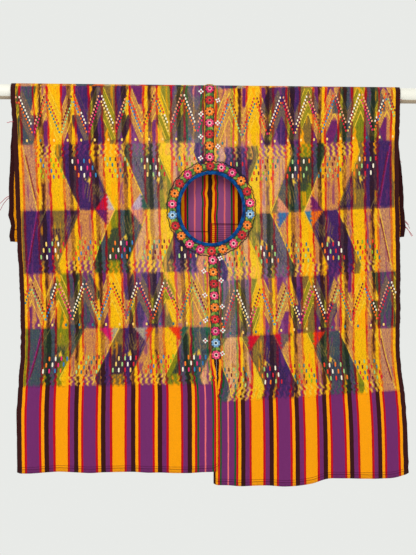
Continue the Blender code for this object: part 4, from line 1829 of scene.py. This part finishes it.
def addStrip(name, node, start, pitch, colours, silk):
    flowers = strip["flowers"]
    radius = strip["flowerRadius"]
    length = 2 * radius + pitch * (flowers - 1)
    stand = cloth["wall"] / 2 + cloth["fit"]

    def acrossStrip(s, t):
        phase = 2 * pi * (t * length - radius) / pitch
        return (s - 0.5) * (strip["width"] - strip["basePinch"] * (1 - cos(phase)))

    base = makeBase(
        8, flowers * 10, acrossStrip, lambda t: start + t * length, ring["base"],
        lambda s, t: stitchedGreen(s, t, flowers),
    )

    def place(across, along, out):
        return hangSeam(along, across, stand + out)

    stripMap(base, 0, start, length, strip["mapHalf"])
    layOn(base, place)
    closeBase(base, ring["underside"])
    parts = [base]
    for k in range(flowers):
        centre = start + radius + pitch * k
        jitter = scatter(k, start * 50)
        flower = copyOf(flowerModel, silks[colours[k]])
        size = (radius * (0.93 + 0.10 * jitter), radius * (0.94 + 0.06 * jitter), 1)
        placeFlat(flower, 0.0, centre, ring["base"], 6 * jitter, size)
        stripMap(flower, 1, start, length, strip["mapHalf"])
        layOn(flower, place)
        parts.append(flower)
        if k == flowers - 1:
            continue
        size = (strip["leafWidth"], strip["leafLength"], ring["leafHeight"])
        for j, (side, lean) in enumerate(strip["leaves"]):
            leaf = copyOf(leafModel, (leafGreens[(k + j) % len(leafGreens)],))
            along = centre + pitch / 2 + 0.001 * side
            placeFlat(leaf, side * 0.0056, along, ring["base"] * 0.8, lean, size)
            stripMap(leaf, 2, start, length, strip["mapHalf"])
            layOn(leaf, place)
            parts.append(leaf)
    stripPiece = joinPieces(name, parts)
    finishEmbroidery(stripPiece, silk, node)
    print(name, len(stripPiece.data.polygons), "faces")


# across from the strip's middle and drop below the pole's axis, in millimetres
whiteFlowers = (
    (-20.0, -2), (19.0, 18), (-20.0, 50), (18.5, 70), (-20.5, 102), (19.0, 124), (-21.0, 151),
    (17.5, 381), (-21.5, 411), (17.5, 432), (-21.5, 466), (17.5, 492), (-22.0, 524), (17.0, 547),
    (-24.0, 571), (14.5, 600),
)
whiteFlower = {
    "petal": 0.0052,
    "width": 0.0046,
    "height": 0.0009,
    "offset": 0.0036,
    "eye": 0.0019,
    "map": (-0.61, 0.63, 0.032),  # start, length and half width
}


def addWhiteFlowers(silk):
    parts = []
    for i, (across, drop) in enumerate(whiteFlowers):
        x, z = across / 1000, -drop / 1000
        spin = 0.5 * (scatter(i, 8.0) - 0.5) + 0.15
        parts.append(makeEye(x, z))
        offset = whiteFlower["offset"]
        size = (whiteFlower["width"], whiteFlower["petal"], whiteFlower["height"])
        for petal in range(4):
            turn = spin + petal * pi / 2
            leaf = copyOf(leafModel, (whiteSilk,))
            placeFlat(leaf, x + offset * sin(turn), z + offset * cos(turn), 0.0, turn, size)
            stripMap(leaf, 0, *whiteFlower["map"])
            parts.append(leaf)
    stand = cloth["wall"] / 2 + 0.00035
    flowers = joinPieces("whiteFlowers", parts)
    layOn(flowers, lambda across, along, out: onCloth(across, along, stand + out))
    finishEmbroidery(flowers, silk, None)
    print("white flowers", len(flowers.data.polygons), "faces")


def makeEye(across, along):
    size = {"segments": 10, "ring_count": 6, "radius": whiteFlower["eye"]}
    eye = startPiece("eye", bpy.ops.mesh.primitive_uv_sphere_add, **size)
    for v in eye.data.vertices:
        v.co = (across + v.co.x, along + v.co.y, whiteFlower["height"] + 0.45 * v.co.z)
    setThreadColour(eye, toShare(redSilk))
    stripMap(eye, 1, *whiteFlower["map"])
    return eye


def onCloth(across, along, out):
    # places beside the middle seam, on whichever panel lies there
    seamX = hangSeam(along, across * 0, out * 0)[:, 0]
    result = np.zeros((len(across), 3))
    for side, mine in (("left", across < 0), ("right", across >= 0)):
        if not mine.any():
            continue
        drop = np.maximum(-along[mine], 0)
        outer = readTable(frontSections, 1 if side == "left" else 3, drop)
        inner = innerEdge(side, drop)
        share = (seamX[mine] + across[mine] - outer) / (inner - outer)
        result[mine] = hang(side, np.clip(share, 0, 1.0), along[mine], out[mine])
    return result


def addTube(name, points, radius, sides=6, closed=False, taper=0.0):
    # a thread along points
    count = len(points)
    points = np.asarray(points, float)
    if closed:
        ahead, back = np.roll(points, -1, axis=0), np.roll(points, 1, axis=0)
    else:
        ahead, back = np.vstack([points[1:], points[-1:]]), np.vstack([points[:1], points[:-1]])
    along = ahead - back
    along /= np.linalg.norm(along, axis=1)[:, None]
    up = np.array([0.0, -1.0, 0.001])
    side = np.cross(along, up)
    side /= np.maximum(np.linalg.norm(side, axis=1), 1e-9)[:, None]
    above = np.cross(side, along)
    places = []
    for i in range(count):
        size = radius * (1 - taper * i / count)
        for turn in np.arange(sides) * 2 * pi / sides:
            places.append(points[i] + size * (cos(turn) * side[i] + sin(turn) * above[i]))
    return sweep(name, sides, count, places, closed)


chain = {
    "beyond": 0.0282,
    "pinch": 0.0022,
    "wave": 0.0016,
    "scallops": 66,
    "radius": 0.00095,
    "steps": 528,
    "colour": (22, 12, 14),
}


def addChain(silk):
    # a dark chain stitch that winds round the outside of the ring
    turns = np.arange(chain["steps"]) * 2 * pi / chain["steps"]
    between = np.array([betweenFlowers(turn) for turn in turns])
    scallop = np.abs(np.sin(turns * chain["scallops"] / 2))
    beyond = chain["beyond"] - chain["pinch"] * between + chain["wave"] * scallop
    out = np.full(len(turns), cloth["wall"] / 2 + chain["radius"] + 0.0001)
    tube = addTube("chainStitch", hangNeck(turns, beyond, out), chain["radius"], 6, True)
    setThreadColour(tube, toShare(chain["colour"]))
    finishEmbroidery(tube, silk, None)
    print("chain stitch", len(tube.data.polygons), "faces")


seamStitch = {
    "pitch": 0.0034,
    "reach": 0.0021,
    "radius": 0.00032,
    "steps": 10,
    "colour": (64, 14, 22),
    "start": 0.073,
    "backEnd": 0.345,
}


def addSeamStitches(name, start, end, silk):
    # thread that winds through both edges, as travel runs from start to end
    turns = (end - start) / seamStitch["pitch"]
    count = int(turns * seamStitch["steps"])
    share = np.arange(count) / count
    turn = share * turns * 2 * pi
    travel = start + share * (end - start)
    bulge = cloth["wall"] / 2 + seamStitch["radius"] + 0.0001
    points = hangSeam(travel, seamStitch["reach"] * np.sin(turn), bulge * np.cos(turn))
    tube = addTube(name, points, seamStitch["radius"], 5)
    setThreadColour(tube, toShare(seamStitch["colour"]))
    finishEmbroidery(tube, silk, None)
    print(name, len(tube.data.polygons), "faces")


# side, travel where it leaves the selvage, then how far out, down and forward it ends, in metres
yarnEnds = (
    ("left", bendLength + 0.240, 0.026, 0.026, -0.004),
    ("left", bendLength + 0.243, 0.021, 0.030, 0.002),
    ("left", -0.072, 0.012, 0.003, -0.004),
    ("right", bendLength + 0.286, 0.008, 0.012, -0.003),
    ("right", bendLength + 0.289, 0.011, 0.016, 0.001),
    ("right", bendLength + 0.301, 0.014, 0.024, -0.004),
    ("right", bendLength + 0.303, 0.017, 0.021, 0.002),
    ("right", -0.012, 0.004, 0.001, -0.002),
    ("right", bendLength + 0.148, 0.004, 0.004, 0.001),
)
yarn = {
    "thick": 0.0008,
    "thin": 0.0005,
    "thinUnder": 0.006,  # ends that reach less far out than this are thin
    "points": 14,
    "curl": 0.0012,
    "taper": 0.35,
    "shades": ((176, 30, 54), (150, 22, 44), (190, 52, 74)),
}


def addYarnEnds(silk):
    parts = []
    for i, (side, travel, outwards, down, forward) in enumerate(yarnEnds):
        outer = -1 if side == "left" else 1
        out = cloth["wall"] / 2 + 0.0004
        root = hang(side, np.array([0.006]), np.array([travel]), np.array([out]))[0]
        share = np.linspace(0, 1, yarn["points"])
        curl = yarn["curl"] * np.sin(share * 9 + i * 2.1) * share
        points = np.stack([
            root[0] + outer * (outwards * share ** 0.8 + 0.003 * share),
            root[1] + forward * share + curl,
            root[2] - down * share ** 1.3 + curl,
        ], axis=-1)
        radius = yarn["thick"] if outwards > yarn["thinUnder"] else yarn["thin"]
        tube = addTube(f"yarn{i}", points, radius, 6, False, yarn["taper"])
        setThreadColour(tube, toShare(yarn["shades"][i % len(yarn["shades"])]))
        parts.append(tube)
    ends = joinPieces("yarnEnds", parts)
    finishEmbroidery(ends, silk, None)
    print("yarn ends", len(ends.data.polygons), "faces")


binding = {
    "sides": 176,
    # beyond the cut edge and out from the middle of the cloth, in millimetres, front to back
    "outer": (
        (5.9, 1.35), (5.6, 2.1), (4.6, 2.75), (3.0, 3.1), (1.2, 3.1), (-0.6, 2.6),
        (-1.8, 1.5), (-2.15, 0.0), (-1.8, -1.5), (-0.6, -2.1), (1.6, -2.25), (4.0, -2.15),
        (5.6, -1.75), (5.9, -1.3),
    ),
    "inner": (
        (5.6, -1.2), (2.5, -1.2), (0.2, -1.2), (-0.5, -0.7), (-0.6, 0.0),
        (-0.5, 0.7), (0.2, 1.2), (2.5, 1.2), (5.6, 1.2),
    ),
    # velvet, as seen on a screen
    "deep": (2, 52, 104),
    "bright": (4, 92, 158),
    "shadow": (1, 24, 62),
}


def addBinding():
    profile = binding["outer"] + binding["inner"]
    places = []
    for turn in np.arange(binding["sides"]) * 2 * pi / binding["sides"]:
        pucker = 1 + 0.05 * sin(turn * 61 + 2 * sin(turn * 7))
        swell = 1 + 0.07 * sin(turn * 5 + 1) + 0.06 * sin(turn * 13)
        widen = 1 + 0.06 * sin(turn * 3 + 0.6) + 0.04 * sin(turn * 17 + 2)
        for beyond, out in profile:
            puffed = out * (pucker if out > 0 else 1) * (swell if out > 1.3 else 1)
            places.append(hangNeck(turn, beyond * widen / 1000, puffed / 1000))
    tape = sweep("neckBinding", len(profile), binding["sides"], places, True)
    velvet = Finish(
        "blueVelvet", roughness=0.9, Sheen_Weight=0.12, Sheen_Roughness=0.4, Specular_IOR_Level=0.1
    )
    place = velvet.place()
    nap = velvet.noise(place, 420.0, 3.0, 0.6)
    crush = velvet.ease(velvet.noise(place, 95.0, 2.0, 0.5), 0.36, 0.64)
    colour = velvet.mix(crush, toLight(binding["deep"]), toLight(binding["bright"]))
    colour = velvet.mix(0.8 * nap, colour, toLight(binding["shadow"]))
    velvet.shade("Base Color", colour)
    velvet.bump(nap + crush, 0.0005, 0.6)
    finishEmbroidery(tape, velvet, "neck_binding")
    print("binding", len(tape.data.polygons), "faces")


poleLook = {
    "paint": (220, 218, 206),
    # bare is the tan painted along the underside as its shade
    "bare": (150, 126, 94),
    "grain": (170, 165, 155),
    "underShadeFrom": -0.0105,
    "underShadeTo": -0.0125,
}


def dressPole():
    paint = Finish("polePaint", roughness=0.42, Specular_IOR_Level=0.45)
    place = paint.place()
    x, y, z = paint.split(place)
    fine = paint.noise(place, 26.0, 4.0, 0.6)
    grain = paint.noise(paint.join(x * 0.06, y, z), 420.0, 3.0, 0.6)
    # painted shade: a tan band is painted along the underside, standing in for the shade there
    shadedUnderside = paint.ease(z + (fine - 0.5) * 0.006, poleLook["underShadeFrom"], poleLook["underShadeTo"])
    colour = paint.mix(shadedUnderside * 0.85, toLight(poleLook["paint"]), toLight(poleLook["bare"]))
    colour = paint.mix(grain * 0.10, colour, toLight(poleLook["grain"]))
    paint.shade("Base Color", colour)
    paint.shade("Roughness", 0.38 + 0.25 * grain)
    paint.bump(grain + fine * 0.6, 0.0002, 0.5)
    paint.wear(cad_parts["pole"])
    print("pole painted")


setCamera()
setStudio()
print("camera and studio set")
silk = silkFinish()
clothLook = clothFinish()
print("finishes made")
for side in ("left", "right"):
    for whichPart in ("front", "back"):
        addPanelPiece(side, whichPart, clothLook)
for side in ("left", "right"):
    addFloats(side, silk)
addBinding()
flowerModel = modelFlower()
leafModel = modelLeaf()
addRing(silk)
ringTop = -neck["drop"] + neck["halfHeight"] + ring["edge"]
ringBottom = -neck["drop"] - neck["halfHeight"] - ring["edge"]
addStrip("seamFlowersUpper", "seam_flowers_upper", ringTop, strip["upperPitch"], upperSilks, silk)
addWhiteFlowers(silk)
addChain(silk)
addSeamStitches("seamStitchesBack", seamStitch["start"], bendLength + seamStitch["backEnd"], silk)
addYarnEnds(silk)
lowerLength = 2 * strip["flowerRadius"] + strip["lowerPitch"] * (strip["flowers"] - 1)
lowerStart = ringBottom - lowerLength
addStrip("seamFlowersLower", "seam_flowers_lower", lowerStart, strip["lowerPitch"], lowerSilks[::-1], silk)
for model, _ in (flowerModel, leafModel):
    bpy.data.objects.remove(model)
dressPole()
